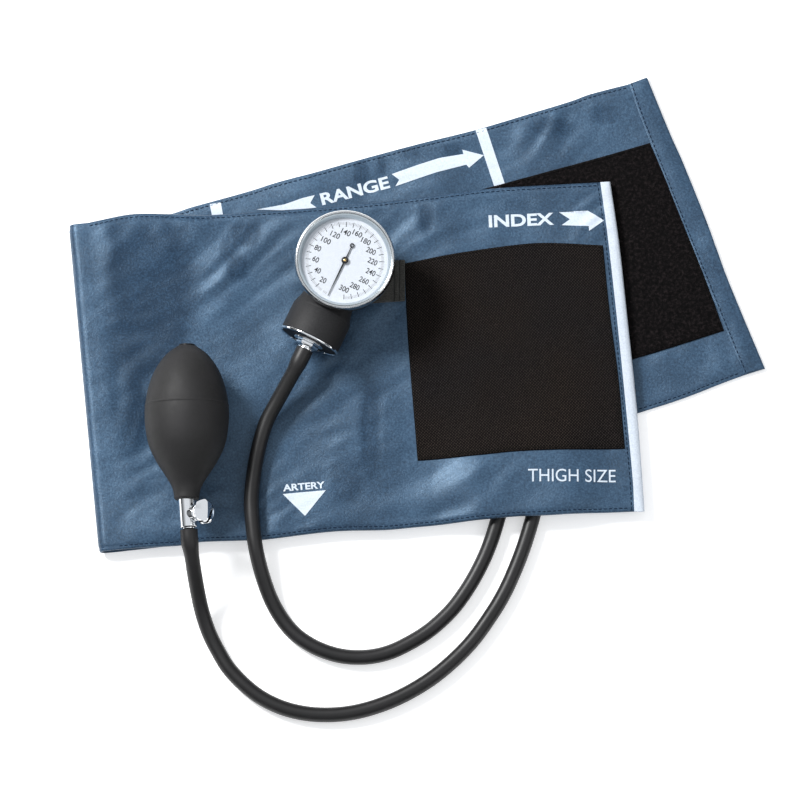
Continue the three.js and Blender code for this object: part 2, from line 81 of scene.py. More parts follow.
# ---- camera: nearly straight down, tilted towards the cuff's lower edge ----
VIEW_WIDTH = 440.6 * MM
VIEW_DISTANCE = 12.0
VIEW_TILT = math.radians(10.0)


def make_camera():
    data = bpy.data.cameras.new("camera")
    data.sensor_width = 36.0
    data.lens = data.sensor_width * VIEW_DISTANCE / VIEW_WIDTH
    data.clip_end = 30.0
    camera = placed("camera", data)
    camera.location = (0.0, -VIEW_DISTANCE * math.sin(VIEW_TILT),
                       VIEW_DISTANCE * math.cos(VIEW_TILT))
    camera.rotation_euler = (VIEW_TILT, 0.0, 0.0)
    scene.camera = camera


# ---- curves and meshes ----
def placed(name, data):
    """A new object in the scene that shows this mesh, curve, light or camera."""
    piece = bpy.data.objects.new(name, data)
    scene.collection.objects.link(piece)
    return piece


def moved(x, y, z):
    return Matrix.Translation((x * MM, y * MM, z * MM))


def rotated(degrees, axis):
    return Matrix.Rotation(math.radians(degrees), 4, axis)


def spline(points, per_span=8):
    """Points of a smooth curve through the given ones, as a numpy array."""
    p = np.array(points, float)
    ends = np.vstack([2 * p[0] - p[1], p, 2 * p[-1] - p[-2]])
    t = np.linspace(0, 1, per_span, endpoint=False)[:, None]
    pieces = []
    for a, b, c, d in zip(ends, ends[1:], ends[2:], ends[3:]):
        pieces.append(
            0.5 * (2 * b + (c - a) * t + (2 * a - 5 * b + 4 * c - d) * t**2
                   + (3 * b - a - 3 * c + d) * t**3)
        )
    return np.vstack([*pieces, p[-1:]])


def line_length(points):
    return float(np.linalg.norm(np.diff(points, axis=0), axis=1).sum())


def along(points, fractions):
    """Points at fractions of a line's length."""
    steps = np.linalg.norm(np.diff(points, axis=0), axis=1)
    at = np.concatenate([[0], np.cumsum(steps)])
    wanted = np.asarray(fractions) * at[-1]
    return np.stack([np.interp(wanted, at, points[:, k]) for k in range(points.shape[1])], -1)


def smooth_step(x, low, high):
    t = np.clip((np.asarray(x, float) - low) / (high - low), 0, 1)
    return t * t * (3 - 2 * t)


def add_mesh(name, verts, faces, smooth=True):
    mesh = bpy.data.meshes.new(name)
    mesh.from_pydata([tuple(v) for v in verts], [], faces)
    bm = bmesh.new()
    bm.from_mesh(mesh)
    bmesh.ops.recalc_face_normals(bm, faces=bm.faces)
    bm.to_mesh(mesh)
    bm.free()
    if smooth:
        mesh.shade_smooth()
    return placed(name, mesh)


def sharpen(piece, degrees=35.0):
    """Keeps edges sharper than an angle crisp while the rest stays smooth."""
    piece.data.set_sharp_from_angle(angle=math.radians(degrees))
    return piece


def rounded(points, steps=4):
    """A profile of (r, h) or (r, h, fillet) with each corner that has a fillet rounded."""
    out = []
    for i, point in enumerate(points):
        if len(point) < 3 or i in (0, len(points) - 1):
            out.append(point[:2])
            continue
        here = Vector(point[:2])
        before = Vector(points[i - 1][:2]) - here
        after = Vector(points[i + 1][:2]) - here
        reach = min(point[2], before.length * 0.49, after.length * 0.49)
        start = here + before.normalized() * reach
        end = here + after.normalized() * reach
        for k in range(steps + 1):
            t = k / steps
            spot = start * (1 - t) ** 2 + here * 2 * t * (1 - t) + end * t * t
            out.append(tuple(spot))
    return out


def turned(name, profile, matrix, segments=64, closed=False, sharp=35.0):
    """A lathe-turned piece about Z, from (r, h) points in millimetres."""
    verts, rings = [], []
    for r, h in profile:
        count = segments if r > 0 else 1
        rings.append(range(len(verts), len(verts) + count))
        angles = [2 * math.pi * k / segments for k in range(count)]
        verts += [(r * math.cos(a), r * math.sin(a), h) for a in angles]
    faces = []
    for low, high in zip(rings, rings[1:] + (rings[:1] if closed else [])):
        for k in range(segments):
            n = (k + 1) % segments
            if len(low) == 1 and len(high) > 1:
                faces.append((low[0], high[n], high[k]))
            elif len(high) == 1 and len(low) > 1:
                faces.append((low[k], low[n], high[0]))
            elif len(low) > 1:
                faces.append((low[k], low[n], high[n], high[k]))
    piece = add_mesh(name, np.array(verts) * MM, faces)
    piece.data.transform(matrix)
    return sharpen(piece, sharp)


def prism_faces(count, base=0):
    """Faces of a prism whose lower and then upper outline start at vertex base."""
    low, high = range(base, base + count), range(base + count, base + 2 * count)
    sides = [(low[k], low[(k + 1) % count], high[(k + 1) % count], high[k])
             for k in range(count)]
    return [tuple(reversed(low)), tuple(high)] + sides


def grid_faces(columns, rows, offset=0, flip=False):
    faces = []
    for j in range(rows - 1):
        for i in range(columns - 1):
            a = offset + j * columns + i
            quad = (a, a + 1, a + columns + 1, a + columns)
            faces.append(quad[::-1] if flip else quad)
    return faces


def shell(name, top, bottom):
    """A closed piece between two grids of points that share their edges' outline."""
    rows, columns = top.shape[:2]
    count = rows * columns
    faces = grid_faces(columns, rows) + grid_faces(columns, rows, count, flip=True)
    rim = (
        [(0, i) for i in range(columns)]
        + [(j, columns - 1) for j in range(1, rows)]
        + [(rows - 1, i) for i in range(columns - 2, -1, -1)]
        + [(j, 0) for j in range(rows - 2, 0, -1)]
    )
    ids = [j * columns + i for j, i in rim]
    for a, b in zip(ids, ids[1:] + ids[:1]):
        faces.append((a, a + count, b + count, b))
    verts = np.vstack([top.reshape(-1, 3), bottom.reshape(-1, 3)]) * MM
    return add_mesh(name, verts, faces)


def joined(name, pieces):
    """One piece out of several with the same material."""
    bm = bmesh.new()
    for piece in pieces:
        bm.from_mesh(piece.data)
        bpy.data.objects.remove(piece)
    mesh = bpy.data.meshes.new(name)
    bm.to_mesh(mesh)
    bm.free()
    return placed(name, mesh)


# ---- material nodes ----
class Nodes:
    """Short names for building a node tree, of a new material unless an owner is given."""

    def __init__(self, name, owner=None, shader="Principled BSDF"):
        self.owner = owner or bpy.data.materials.new(name)
        self.owner.use_nodes = True
        self.tree = self.owner.node_tree
        self.shader = self.tree.nodes[shader]

    def feed(self, socket, value):
        """Links a socket to another one, or gives it a value."""
        if isinstance(value, bpy.types.NodeSocket):
            self.tree.links.new(value, socket)
        elif socket.type == "RGBA":
            socket.default_value = (*value, 1.0)
        else:
            socket.default_value = value

    def new(self, kind, **settings):
        """A node. Settings are its sockets, with _ for a space, or its own properties."""
        node = self.tree.nodes.new(kind)
        for key, value in settings.items():
            socket = node.inputs.get(key.replace("_", " "))
            if socket is None:
                setattr(node, key, value)
            else:
                self.feed(socket, value)
        return node

    def math(self, operation, *values):
        node = self.new("ShaderNodeMath", operation=operation)
        for socket, value in zip(node.inputs, values):
            self.feed(socket, value)
        return node.outputs[0]

    def mixed(self, first, *others):
        """The sum of pairs of a value and its weight."""
        total = self.math("MULTIPLY", *first)
        for pair in others:
            total = self.math("ADD", total, self.math("MULTIPLY", *pair))
        return total

    def place(self, turn=0.0, stretch=1.0):
        """Coordinates in millimetres, turned about Z and then squeezed along X."""
        coords = self.new("ShaderNodeTexCoord").outputs["Object"]
        turned_by = self.new("ShaderNodeMapping", Vector=coords,
                             Rotation=(0, 0, math.radians(turn)))
        return self.new("ShaderNodeMapping", Vector=turned_by.outputs["Vector"],
                        Scale=(1000 * stretch, 1000, 1000)).outputs["Vector"]

    def noise(self, vector, scale, detail=2.0, rough=0.5):
        return self.new("ShaderNodeTexNoise", Vector=vector, Scale=scale, Detail=detail,
                        Roughness=rough).outputs["Fac"]

    def ramp(self, value, stops):
        node = self.new("ShaderNodeValToRGB", Fac=value)
        elements = node.color_ramp.elements
        while len(elements) < len(stops):
            elements.new(0.5)
        for element, (position, colour) in zip(elements, stops):
            element.position = position
            element.color = (*colour, 1.0)
        return node.outputs["Color"]

    def bump(self, height, distance, strength=1.0, **settings):
        return self.new("ShaderNodeBump", Height=height, Distance=distance, Strength=strength,
                        **settings).outputs["Normal"]

    def span(self, value, low, high):
        return self.new("ShaderNodeMapRange", Value=value, To_Min=low,
                        To_Max=high).outputs["Result"]

    def set(self, **values):
        for key, value in values.items():
            self.feed(self.shader.inputs[key.replace("_", " ")], value)
        return self.owner


PAINTED_SHADE_DEPTH = 0.105        # how far the painted shade attribute lowers the cloth's tone
PAINTED_SHADE_GLOSS = 0.45         # and its gloss
WEAVE_SCALE = 0.55


def nylon_material():
    """Satin navy nylon: a fine plain weave, a slightly uneven dye and sheen, and painted shade
    where its folds and dents turn from the light.
    """
    n = Nodes("navy_nylon")
    place, threads = n.place(), n.place(turn=5.0)
    grain = n.noise(place, 0.9, 3.0, 0.7)
    cloud = n.noise(place, 0.03, 3.0, 0.55)
    # painted shade: this attribute darkens the satin where its folds and dents turn from the light
    shade = n.new("ShaderNodeAttribute", attribute_name="shade").outputs["Fac"]
    tone = n.math("SUBTRACT", n.mixed((grain, 0.68), (cloud, 0.32)),
                  n.math("MULTIPLY", shade, PAINTED_SHADE_DEPTH))
    colour = n.ramp(tone, [
        (0.36, (0.0045, 0.0145, 0.034)), (0.5, (0.0155, 0.039, 0.077)),
        (0.64, (0.036, 0.077, 0.135)),
    ])
    waves = [n.new("ShaderNodeTexWave", wave_type="BANDS", bands_direction=direction,
                   Scale=WEAVE_SCALE, Distortion=0.6, Vector=threads).outputs["Fac"]
             for direction in "XY"]
    weave = n.bump(n.math("ADD", *waves), 0.00004, 0.45)
    folds = n.noise(n.place(turn=-32.0, stretch=0.45), 0.06, 1.5, 0.45)
    rumple = n.bump(folds, 0.0022, 0.5, Normal=weave)
    # painted shade also dulls the satin's gloss
    gloss = n.math("SUBTRACT", 0.88, n.math("MULTIPLY", shade, PAINTED_SHADE_GLOSS))
    return n.set(Base_Color=colour, Roughness=n.span(n.noise(place, 0.25, 2.0), 0.36, 0.48),
                 Normal=n.bump(grain, 0.00022, 0.8, Normal=rumple), Specular_IOR_Level=gloss,
                 Specular_Tint=(0.55, 0.77, 1.0), Sheen_Weight=0.12, Sheen_Roughness=0.4,
                 Sheen_Tint=(0.6, 0.75, 0.95))


def hook_material():
    """Black hook tape: rows of small hooks in zigzag lines with painted shade in the hollows
    between the rows, slightly brown where worn.

    The tape's own UV map is in millimetres, so that the rows match hook_relief."""
    n = Nodes("hook_tape")
    place = n.place()
    flat = n.new("ShaderNodeSeparateXYZ", Vector=n.new("ShaderNodeTexCoord").outputs["UV"])
    zigzag = n.math("PINGPONG", n.math("DIVIDE", flat.outputs["X"], HOOK_PITCH), 0.5)
    row = n.math("ADD", n.math("DIVIDE", flat.outputs["Y"], HOOK_PITCH),
                 n.math("MULTIPLY", n.math("SUBTRACT", 0.5, zigzag), HOOK_SWING))
    wave = n.math("COSINE", n.math("MULTIPLY", row, 2 * math.pi))
    column = n.math("COSINE", n.math("MULTIPLY", zigzag, 4 * math.pi))
    tufts = n.noise(place, 1.3, 2.0, 0.6)
    height = n.mixed((wave, 0.3), (column, 0.22), (tufts, 0.9))
    mix = n.new("ShaderNodeMix", data_type="RGBA")
    # painted shade: darker where the rows' relief sinks, lighter on the crests of the hooks
    dark = n.ramp(height, [(0.42, (0.0003, 0.0003, 0.0004)), (0.85, (0.027, 0.024, 0.0245))])
    brown = n.ramp(height, [(0.42, (0.0004, 0.0003, 0.0003)), (0.85, (0.036, 0.0275, 0.0225))])
    n.feed(mix.inputs["Factor"], n.span(n.noise(place, 0.018, 2.0), -0.6, 1.6))
    n.feed(mix.inputs[6], dark)
    n.feed(mix.inputs[7], brown)
    return n.set(Base_Color=mix.outputs[2], Roughness=0.82, Normal=n.bump(tufts, 0.0004, 0.7),
                 Specular_IOR_Level=0.08)


def loop_material():
    """Black loop pile: soft clumps of fibre with a few brown ones."""
    n = Nodes("loop_pile")
    place = n.place()
    clumps, fibres = n.noise(place, 0.55, 4.0, 0.72), n.noise(place, 1.6, 3.0, 0.7)
    height = n.mixed((clumps, 0.65), (fibres, 0.35))
    colour = n.ramp(height, [
        (0.4, (0.0008, 0.0007, 0.0008)), (0.5, (0.0026, 0.0021, 0.0023)),
        (0.64, (0.016, 0.012, 0.0125)),
    ])
    return n.set(Base_Color=colour, Roughness=0.95, Normal=n.bump(height, 0.0009, 1.0),
                 Sheen_Weight=0.03, Sheen_Roughness=0.5, Specular_IOR_Level=0.1)


def rubber_material(name, roughness):
    """Matte dark rubber with a faint bloom."""
    n = Nodes(name)
    place = n.place()
    bloom = n.noise(place, 0.06, 4.0, 0.6)
    colour = n.ramp(bloom, [(0.3, (RUBBER_DARK,) * 3),
                            (0.7, tuple(RUBBER_LIGHT * tint for tint in (1.03, 0.98, 1.07)))])
    rough = n.span(n.noise(place, 0.2, 3.0), roughness - 0.06, roughness + 0.08)
    return n.set(Base_Color=colour, Roughness=rough, Specular_IOR_Level=0.36,
                 Normal=n.bump(n.noise(place, 2.2, 2.0, 0.6), 0.00006, 0.5))


def grained(name, grain, dark, light, bump=None, **settings):
    """A material whose colour follows a fine grain, given as scale, detail and roughness."""
    n = Nodes(name)
    value = n.noise(n.place(), *grain)
    if bump:
        settings["Normal"] = n.bump(value, *bump)
    return n.set(Base_Color=n.ramp(value, [(0.3, dark), (0.7, light)]), **settings)


def paint(name, dark, light, roughness, gloss=0.5):
    """Even paint, ink or thread with a faint mottle."""
    return grained(name, (0.5, 2.0), dark, light, Roughness=roughness, Specular_IOR_Level=gloss)


def metal(name, colour, roughness, uneven=0.05):
    """Metal with a faintly uneven polish."""
    n = Nodes(name)
    rough = n.span(n.noise(n.place(), 0.35, 3.0), roughness, roughness + uneven)
    return n.set(Base_Color=colour, Metallic=1.0, Roughness=rough)


def crystal_material():
    n = Nodes("crystal")
    n.owner.blend_method = "BLEND"
    rough = n.span(n.noise(n.place(), 0.1, 2.0), 0.01, 0.03)
    return n.set(Base_Color=(0.12, 0.13, 0.14), Roughness=rough, Alpha=0.05,
                 Specular_IOR_Level=0.5)


def slot_of(material):
    """The record's slot that a material is named after."""
    return material.name.split(".")[0]


RUBBER_DARK = 0.0078
RUBBER_LIGHT = 0.012
MATERIALS = {slot_of(material): material for material in (
    nylon_material(),
    hook_material(),
    loop_material(),
    grained("white_tape", (1.2, 2.0), (0.5, 0.56, 0.64), (0.62, 0.68, 0.75), (0.0001, 0.5),
            Roughness=0.7),
    grained("webbing", (1.4, 3.0, 0.6), (0.018, 0.018, 0.0155), (0.066, 0.065, 0.057),
            (0.0002, 0.6), Roughness=0.8, Sheen_Weight=0.2),
    rubber_material("bladder_rubber", 0.62),
    rubber_material("hose_rubber", 0.42),
    grained("case_enamel", (1.6, 3.0, 0.6), (0.0055, 0.0055, 0.0062), (0.0165, 0.0165, 0.018),
            (0.00012, 0.8), Roughness=0.62, Specular_IOR_Level=0.35),
    metal("chrome", (0.8, 0.82, 0.84), 0.06),
    metal("steel", (0.56, 0.56, 0.57), 0.28, 0.12),
    metal("brass", (0.72, 0.5, 0.2), 0.22),
    paint("dial_face", (0.6, 0.64, 0.7), (0.65, 0.69, 0.75), 0.5),
    paint("black_paint", (0.005, 0.005, 0.006), (0.008, 0.008, 0.009), 0.4, 0.2),
    crystal_material(),
)}
INK = grained("white_ink", (1.1, 2.0), (0.5, 0.57, 0.66), (0.61, 0.68, 0.76), Roughness=0.6)
DIAL_INK = paint("dial_ink", (0.01, 0.01, 0.012), (0.018, 0.018, 0.02), 0.5, 0.2)
FINE_INK = paint("fine_ink", (0.3, 0.3, 0.31), (0.36, 0.36, 0.37), 0.5)
RIM_METAL = metal("bezel_chrome", (0.62, 0.64, 0.65), 0.14)
# painted reflection: a darker, bluish copy of the bezel's chrome paints what its inner wall
# reflects
PAINTED_REFLECTION_METAL = metal("bezel_painted_reflection", (0.5, 0.56, 0.59), 0.3)
THREAD = paint("navy_thread", (0.004, 0.011, 0.028), (0.009, 0.019, 0.042), 0.8, 0.1)
BLACK_THREAD = paint("black_thread", (0.001, 0.001, 0.001), (0.002, 0.002, 0.002), 0.9, 0.1)


def finish_piece(piece, slot, body, material=None, replaces=()):
    """Gives a piece its material, the record's slot's own unless another is given, attaches it to
    its body and hides the CAD nodes it replaces.
    """
    piece.data.materials.clear()
    piece.data.materials.append(material or MATERIALS[slot])
    if body:
        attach(piece, body)
    if replaces:
        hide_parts(*replaces)
    return piece


# ---- hoses ----
GAUGE_HOSE = [
    (-0.0525, 0.0238, 0.0272), (-0.0552, 0.0182, 0.027), (-0.0582, 0.0124, 0.0256),
    (-0.0627, 0.0048, 0.0224), (-0.0678, -0.0039, 0.019), (-0.0739, -0.0154, 0.016),
    (-0.0782, -0.03, 0.0145), (-0.0807, -0.0444, 0.0142), (-0.0819, -0.0581, 0.0142),
    (-0.0811, -0.072, 0.0143), (-0.0793, -0.0854, 0.0137), (-0.0759, -0.0988, 0.0103),
    (-0.0712, -0.1116, 0.0064), (-0.065, -0.1226, 0.0047), (-0.0579, -0.1309, 0.0044),
    (-0.0495, -0.1369, 0.0044), (-0.041, -0.1408, 0.0044), (-0.0326, -0.1431, 0.0044),
    (-0.0242, -0.1439, 0.0044), (-0.0156, -0.1434, 0.0044), (-0.007, -0.1414, 0.0044),
    (0.0018, -0.1376, 0.0044), (0.013, -0.131, 0.0044), (0.022, -0.1237, 0.0044),
    (0.0303, -0.1149, 0.0044), (0.0385, -0.1029, 0.0044), (0.0452, -0.0902, 0.0044),
    (0.0499, -0.0786, 0.0044), (0.0533, -0.0676, 0.0044), (0.056, -0.0576, 0.0044),
    (0.058, -0.0494, 0.0044),
]
BULB_HOSE = [
    (-0.116, -0.0775, 0.033), (-0.1155, -0.0842, 0.0322), (-0.1144, -0.0916, 0.029),
    (-0.113, -0.1002, 0.0228), (-0.1112, -0.1096, 0.0158), (-0.1089, -0.1194, 0.0098),
    (-0.1053, -0.1299, 0.0059), (-0.1002, -0.1402, 0.0045), (-0.0933, -0.1512, 0.0044),
    (-0.0818, -0.1625, 0.0044), (-0.071, -0.1693, 0.0044), (-0.0586, -0.1738, 0.0044),
    (-0.044, -0.1758, 0.0044), (-0.0275, -0.1748, 0.0044), (-0.011, -0.1704, 0.0044),
    (0.0055, -0.1629, 0.0044), (0.022, -0.1518, 0.0044), (0.0382, -0.1362, 0.0044),
    (0.0504, -0.1193, 0.0044), (0.0574, -0.1072, 0.0044), (0.0626, -0.0957, 0.0044),
    (0.067, -0.0843, 0.0044), (0.0706, -0.0732, 0.0044), (0.0736, -0.0624, 0.0044),
    (0.076, -0.0528, 0.0044),
]
SWELL = 0.17               # how much a hose's end swells over its barb
SWELL_FROM = 7 * MM        # the swelling fades between these distances from the end
SWELL_TO = 15 * MM


def hose(name, route, node):
    line = spline(route, 6)
    data = bpy.data.curves.new(name, "CURVE")
    data.dimensions = "3D"
    data.bevel_depth = HOSE_DIAMETER / 2 * MM
    data.bevel_resolution = 8
    data.use_fill_caps = True
    path = data.splines.new("POLY")
    path.points.add(len(line) - 1)
    run = np.concatenate([[0], np.cumsum(np.linalg.norm(np.diff(line, axis=0), axis=1))])
    for point, spot, distance in zip(path.points, line, run):
        point.co = (*spot, 1.0)
        point.radius = 1 + SWELL * (1 - float(smooth_step(distance, SWELL_FROM, SWELL_TO)))
    path.use_smooth = True
    piece = finish_piece(placed(name, data), "hose_rubber", "front_half", replaces=[node])


# ---- cloth panels ----
def fold_point(fraction, distance):
    """A point a distance to the right of the fold's axis, 0 at its lower end, 1 at its top."""
    low, high = np.array(FOLD_BOTTOM), np.array(FOLD_TOP)
    direction = (high - low) / np.linalg.norm(high - low)
    across = np.array([direction[1], -direction[0]])
    return low + (high - low) * np.asarray(fraction)[..., None] + across * distance


class Patch:
    """A flat four-sided outline with curved edges. u runs left to right, v upwards."""

    def __init__(self, bottom, right, top, left):
        self.edges = [spline(edge) if len(edge) > 2 else np.array(edge, float)
                      for edge in (bottom, right, top, left)]

    def at(self, u, v):
        """Coons patch: blends the four edges. u and v are arrays of the same shape."""
        u, v = np.asarray(u, float), np.asarray(v, float)
        bottom, right, top, left = self.edges
        b, t = along(bottom, u), along(top, u)
        l, r = along(left, v), along(right, v)
        u, v = u[..., None], v[..., None]
        corners = ((1 - u) * (1 - v) * bottom[0] + u * (1 - v) * bottom[-1]
                   + (1 - u) * v * top[0] + u * v * top[-1])
        return (1 - v) * b + v * t + (1 - u) * l + u * r - corners

    def across(self, u, v):
        """The same points as two arrays, x and y."""
        return np.moveaxis(self.at(u, v), -1, 0)

    def size(self):
        """Mean width and height in millimetres."""
        bottom, right, top, left = self.edges
        return ((line_length(bottom) + line_length(top)) / 2,
                (line_length(right) + line_length(left)) / 2)

    def cut(self):
        """Width and length in metres of the piece of cloth it is cut from."""
        bottom, right, top, left = (line_length(edge) * MM for edge in self.edges)
        return max(bottom, top), max(right, left)


def stations(length, step, fine, near_start, near_end):
    """Fractions of a length, closer together near its ends."""
    marks = set(np.round(np.linspace(0, length, round(length / step) + 1), 3))
    for distance in np.arange(0, near_start, fine):
        marks.add(round(float(distance), 3))
    for distance in np.arange(0, near_end, fine):
        marks.add(round(length - float(distance), 3))
    kept = []
    for mark in sorted(marks):
        if not kept or mark - kept[-1] > fine * 0.6:
            kept.append(mark)
    kept[-1] = length
    return np.array(kept) / length


def rise(x, y):
    """How far the front half lifts over the hose ends."""
    across = 1 - smooth_step(np.abs(x - RISE_CENTRE_X), *RISE_SIDES)
    return RISE * across * (1 - smooth_step(y, *RISE_END))


SIM_SCALE = 20.0           # the cloth is simulated larger, where the solver is steady
SIM_SPACING = 3.0 * MM
SIM_FRAMES = 26
SIM_CLOTH = {
    "quality": 6, "mass": 0.15, "tension_stiffness": 20, "compression_stiffness": 20,
    "shear_stiffness": 8, "bending_stiffness": 1.2, "air_damping": 2,
}


def crumple(width, height, grow, seed):
    """Heights in millimetres of a cloth slightly too big for the seams that hold its edges."""
    columns = round(width * MM / SIM_SPACING) + 1
    rows = round(height * MM / SIM_SPACING) + 1
    u, v = np.meshgrid(np.linspace(0, 1, columns), np.linspace(0, 1, rows))
    flat = np.stack([u * width, v * height, np.zeros_like(u)], -1)
    verts = flat.reshape(-1, 3) * MM * SIM_SCALE
    offset = Vector((seed * 7.3, seed * 3.1, seed * 1.7))
    for spot in verts:
        spot[2] = 0.012 * noise.noise(Vector(spot) * 2.2 + offset)
    sheet = add_mesh("crumple", verts, grid_faces(columns, rows))
    edge = (u == 0) | (u == 1) | (v == 0) | (v == 1)
    group = sheet.vertex_groups.new(name="hold")
    group.add(np.flatnonzero(edge).tolist(), 1.0, "REPLACE")
    modifier = sheet.modifiers.new("cloth", "CLOTH")
    cloth = modifier.settings
    for setting, value in SIM_CLOTH.items():
        setattr(cloth, setting, value)
    cloth.shrink_min = -grow
    cloth.vertex_group_mass = group.name
    cloth.effector_weights.gravity = 0
    modifier.collision_settings.use_collision = False
    modifier.collision_settings.use_self_collision = False
    modifier.point_cache.frame_start = 1
    modifier.point_cache.frame_end = SIM_FRAMES
    for step in range(1, SIM_FRAMES + 1):
        scene.frame_set(step)
    result = sheet.evaluated_get(bpy.context.evaluated_depsgraph_get()).to_mesh()
    heights = np.array([p.co.z for p in result.vertices]) / (MM * SIM_SCALE)
    scene.frame_set(1)
    bpy.data.objects.remove(sheet)
    return heights.reshape(rows, columns)


def soft_noise(x, y, scale, seed):
    """Smooth noise from -1 to 1 at points in millimetres."""
    flat = [noise.noise(Vector((a * scale, b * scale, seed))) for a, b in
            zip(np.ravel(x), np.ravel(y))]
    return np.array(flat).reshape(np.shape(x))


def sampled(grid, u, v):
    """Bilinear samples of a grid at fractions u and v."""
    rows, columns = grid.shape
    x, y = np.clip(u, 0, 1) * (columns - 1), np.clip(v, 0, 1) * (rows - 1)
    i = np.minimum(x.astype(int), columns - 2)
    j = np.minimum(y.astype(int), rows - 2)
    a, b = x - i, y - j
    return ((1 - a) * (1 - b) * grid[j, i] + a * (1 - b) * grid[j, i + 1]
            + (1 - a) * b * grid[j + 1, i] + a * b * grid[j + 1, i + 1])


def softened(grid, passes):
    """A grid with its roughest detail averaged away."""
    for _ in range(passes):
        wide = np.pad(grid, 1, mode="edge")
        grid = (wide[1:-1, :-2] + wide[1:-1, 2:] + wide[:-2, 1:-1] + wide[2:, 1:-1]
                + 4 * grid) / 8
    return grid


class Ground:
    """The upper surface of a piece, for laying other pieces on it. Heights are in mm."""

    def __init__(self, piece):
        mesh = piece.data
        self.tree = BVHTree.FromPolygons([v.co for v in mesh.vertices],
                                         [tuple(p.vertices) for p in mesh.polygons])
        self.last = 0.0

    def height(self, x, y):
        hit = self.tree.ray_cast(Vector((x * MM, y * MM, 0.2)), Vector((0, 0, -1)))[0]
        if hit is not None:
            self.last = hit.z / MM
        return self.last

    def heights(self, x, y):
        flat = [self.height(a, b) for a, b in zip(np.ravel(x), np.ravel(y))]
        return np.array(flat).reshape(np.shape(x))


# ---- the cuff's outline as it lies, in millimetres ----
FRONT_BOTTOM = [
    tuple(fold_point(0.0, FOLD_JOIN)), (-141.4, -83.4), (-121.6, -82.3), (-110.0, -80.3),
    (-88.0, -79.4), (-74.3, -78.9), (-36.9, -74.4), (-8.8, -73.6), (6.6, -72.2),
    (25.9, -70.4), (49.0, -68.0), (64.9, -66.6), (80.9, -66.0), (105.1, -64.4), (133.6, -63.1),
]
FRONT_TOP = [
    tuple(fold_point(1.0, FOLD_JOIN)), (-149.1, 102.7), (-128.2, 102.9), (-105.6, 102.3),
    (-71.5, 104.6), (-44.6, 106.5), (-5.5, 110.1), (18.2, 113.1), (45.1, 116.6), (71.0, 118.5),
    (115.0, 120.9),
]
FRONT_RIGHT = [(133.6, -63.1), (129.7, -8.9), (123.4, 53.7), (119.6, 88.6), (115.0, 120.9)]
STRIP_LEFT = [(128.4, -63.5), (127.4, -43.6), (123.3, 1.0), (118.9, 45.7), (114.0, 90.4),
              (110.0, 120.5)]
TAIL_BOTTOM = [
    tuple(fold_point(0.0, FOLD_JOIN)), (-120.0, -80.4), (-60.0, -71.3), (0.0, -52.6),
    (45.0, -36.3), (90.0, -20.6), (130.4, -7.4), (155.0, 0.7), (176.8, 9.3), (188.9, 13.8),
    (200.5, 17.5),
]
TAIL_TOP = [
    tuple(fold_point(1.0, FOLD_JOIN)), (-150.0, 99.6), (-128.2, 103.6), (-115.5, 107.7),
    (-105.1, 110.6), (-83.2, 116.8), (-67.1, 122.0), (-46.9, 127.4), (-26.7, 133.2),
    (-10.6, 137.7), (12.1, 143.8), (41.5, 151.2), (73.9, 161.0), (93.9, 167.2), (103.4, 170.8),
    (117.3, 174.6), (125.8, 176.8), (135.9, 180.6),
]
TAIL_RIGHT = [
    (200.5, 17.5), (181.5, 64.0), (174.4, 83.5), (167.5, 102.7), (155.9, 132.1),
    (148.2, 150.0), (135.9, 180.6),
]
HEM_LEFT = [(188.9, 13.8), (178.0, 40.8), (137.4, 144.0), (125.8, 176.8)]
HOOK_EDGES = (
    [(9.4, -35.3), (42.4, -32.9), (66.0, -30.6), (101.8, -29.3), (123.3, -28.6)],
    [(123.3, -28.6), (119.7, 12.0), (115.0, 48.3), (111.4, 85.0)],
    [(2.3, 74.9), (30.3, 80.4), (61.1, 85.0), (80.3, 86.4), (111.4, 85.0)],
    [(9.4, -35.3), (4.0, 33.8), (2.3, 74.9)],
)
LOOP_EDGES = (
    [(83.5, 8.4), (127.6, 22.4), (147.7, 28.6), (178.0, 38.5)],
    [(178.0, 38.5), (165.9, 72.5), (152.1, 107.6), (144.7, 126.6), (137.4, 143.6)],
    [(42.9, 117.1), (73.7, 125.5), (110.0, 135.6), (137.4, 143.6)],
    [(83.5, 8.4), (42.9, 117.1)],
)
FRONT_LEFT = [FRONT_BOTTOM[0], FRONT_TOP[0]]
TAIL_LEFT = [TAIL_BOTTOM[0], TAIL_TOP[0]]

# ---- the cloth's thickness and height, in millimetres ----
EDGE_HALF = 0.5            # half the thickness at a hemmed edge
BEND_HALF = 1.1            # and in the bend and the tail
FRONT_HALF = 2.0           # and in the front half, which holds the bladder
BEND_RADIUS = 3.6          # radius of the bend's middle
TAIL_MIDDLE = 1.25
FRONT_MIDDLE = 7.4
EDGE_ROUND = 5.0           # over this width the cloth thins towards its hems
SEAM_IN = 1.9              # stitching this far in from an edge
CLOTH_STEP = 2.0           # spacing of the cloth's mesh
CLOTH_FINE = 0.7           # and near its hems
STRIP_CURL = 2.2           # the white strip rounds over this far from its right edge
HEM_FADE = 9.0             # waves fade out over this distance from a hem
WAVE_FADE = 12.0           # and over this distance from the fold
FOLD_FADE = 16.0           # the front reaches its full height and thickness this far from it
FRONT_WAVE = 2.4           # highest waves in the front half
TAIL_WAVE = 1.2            # and in the tail
TAIL_LIFT = 0.4            # how far the tail's upper layer stands off
TABLE_GAP = 0.05           # the tail's lower layer stays this far off the table


def quarter_round(distance, width):
    """0 at an edge, rising like a quarter circle to 1 at a width from it."""
    return np.sqrt(1 - (1 - np.clip(distance / width, 0, 1)) ** 2)


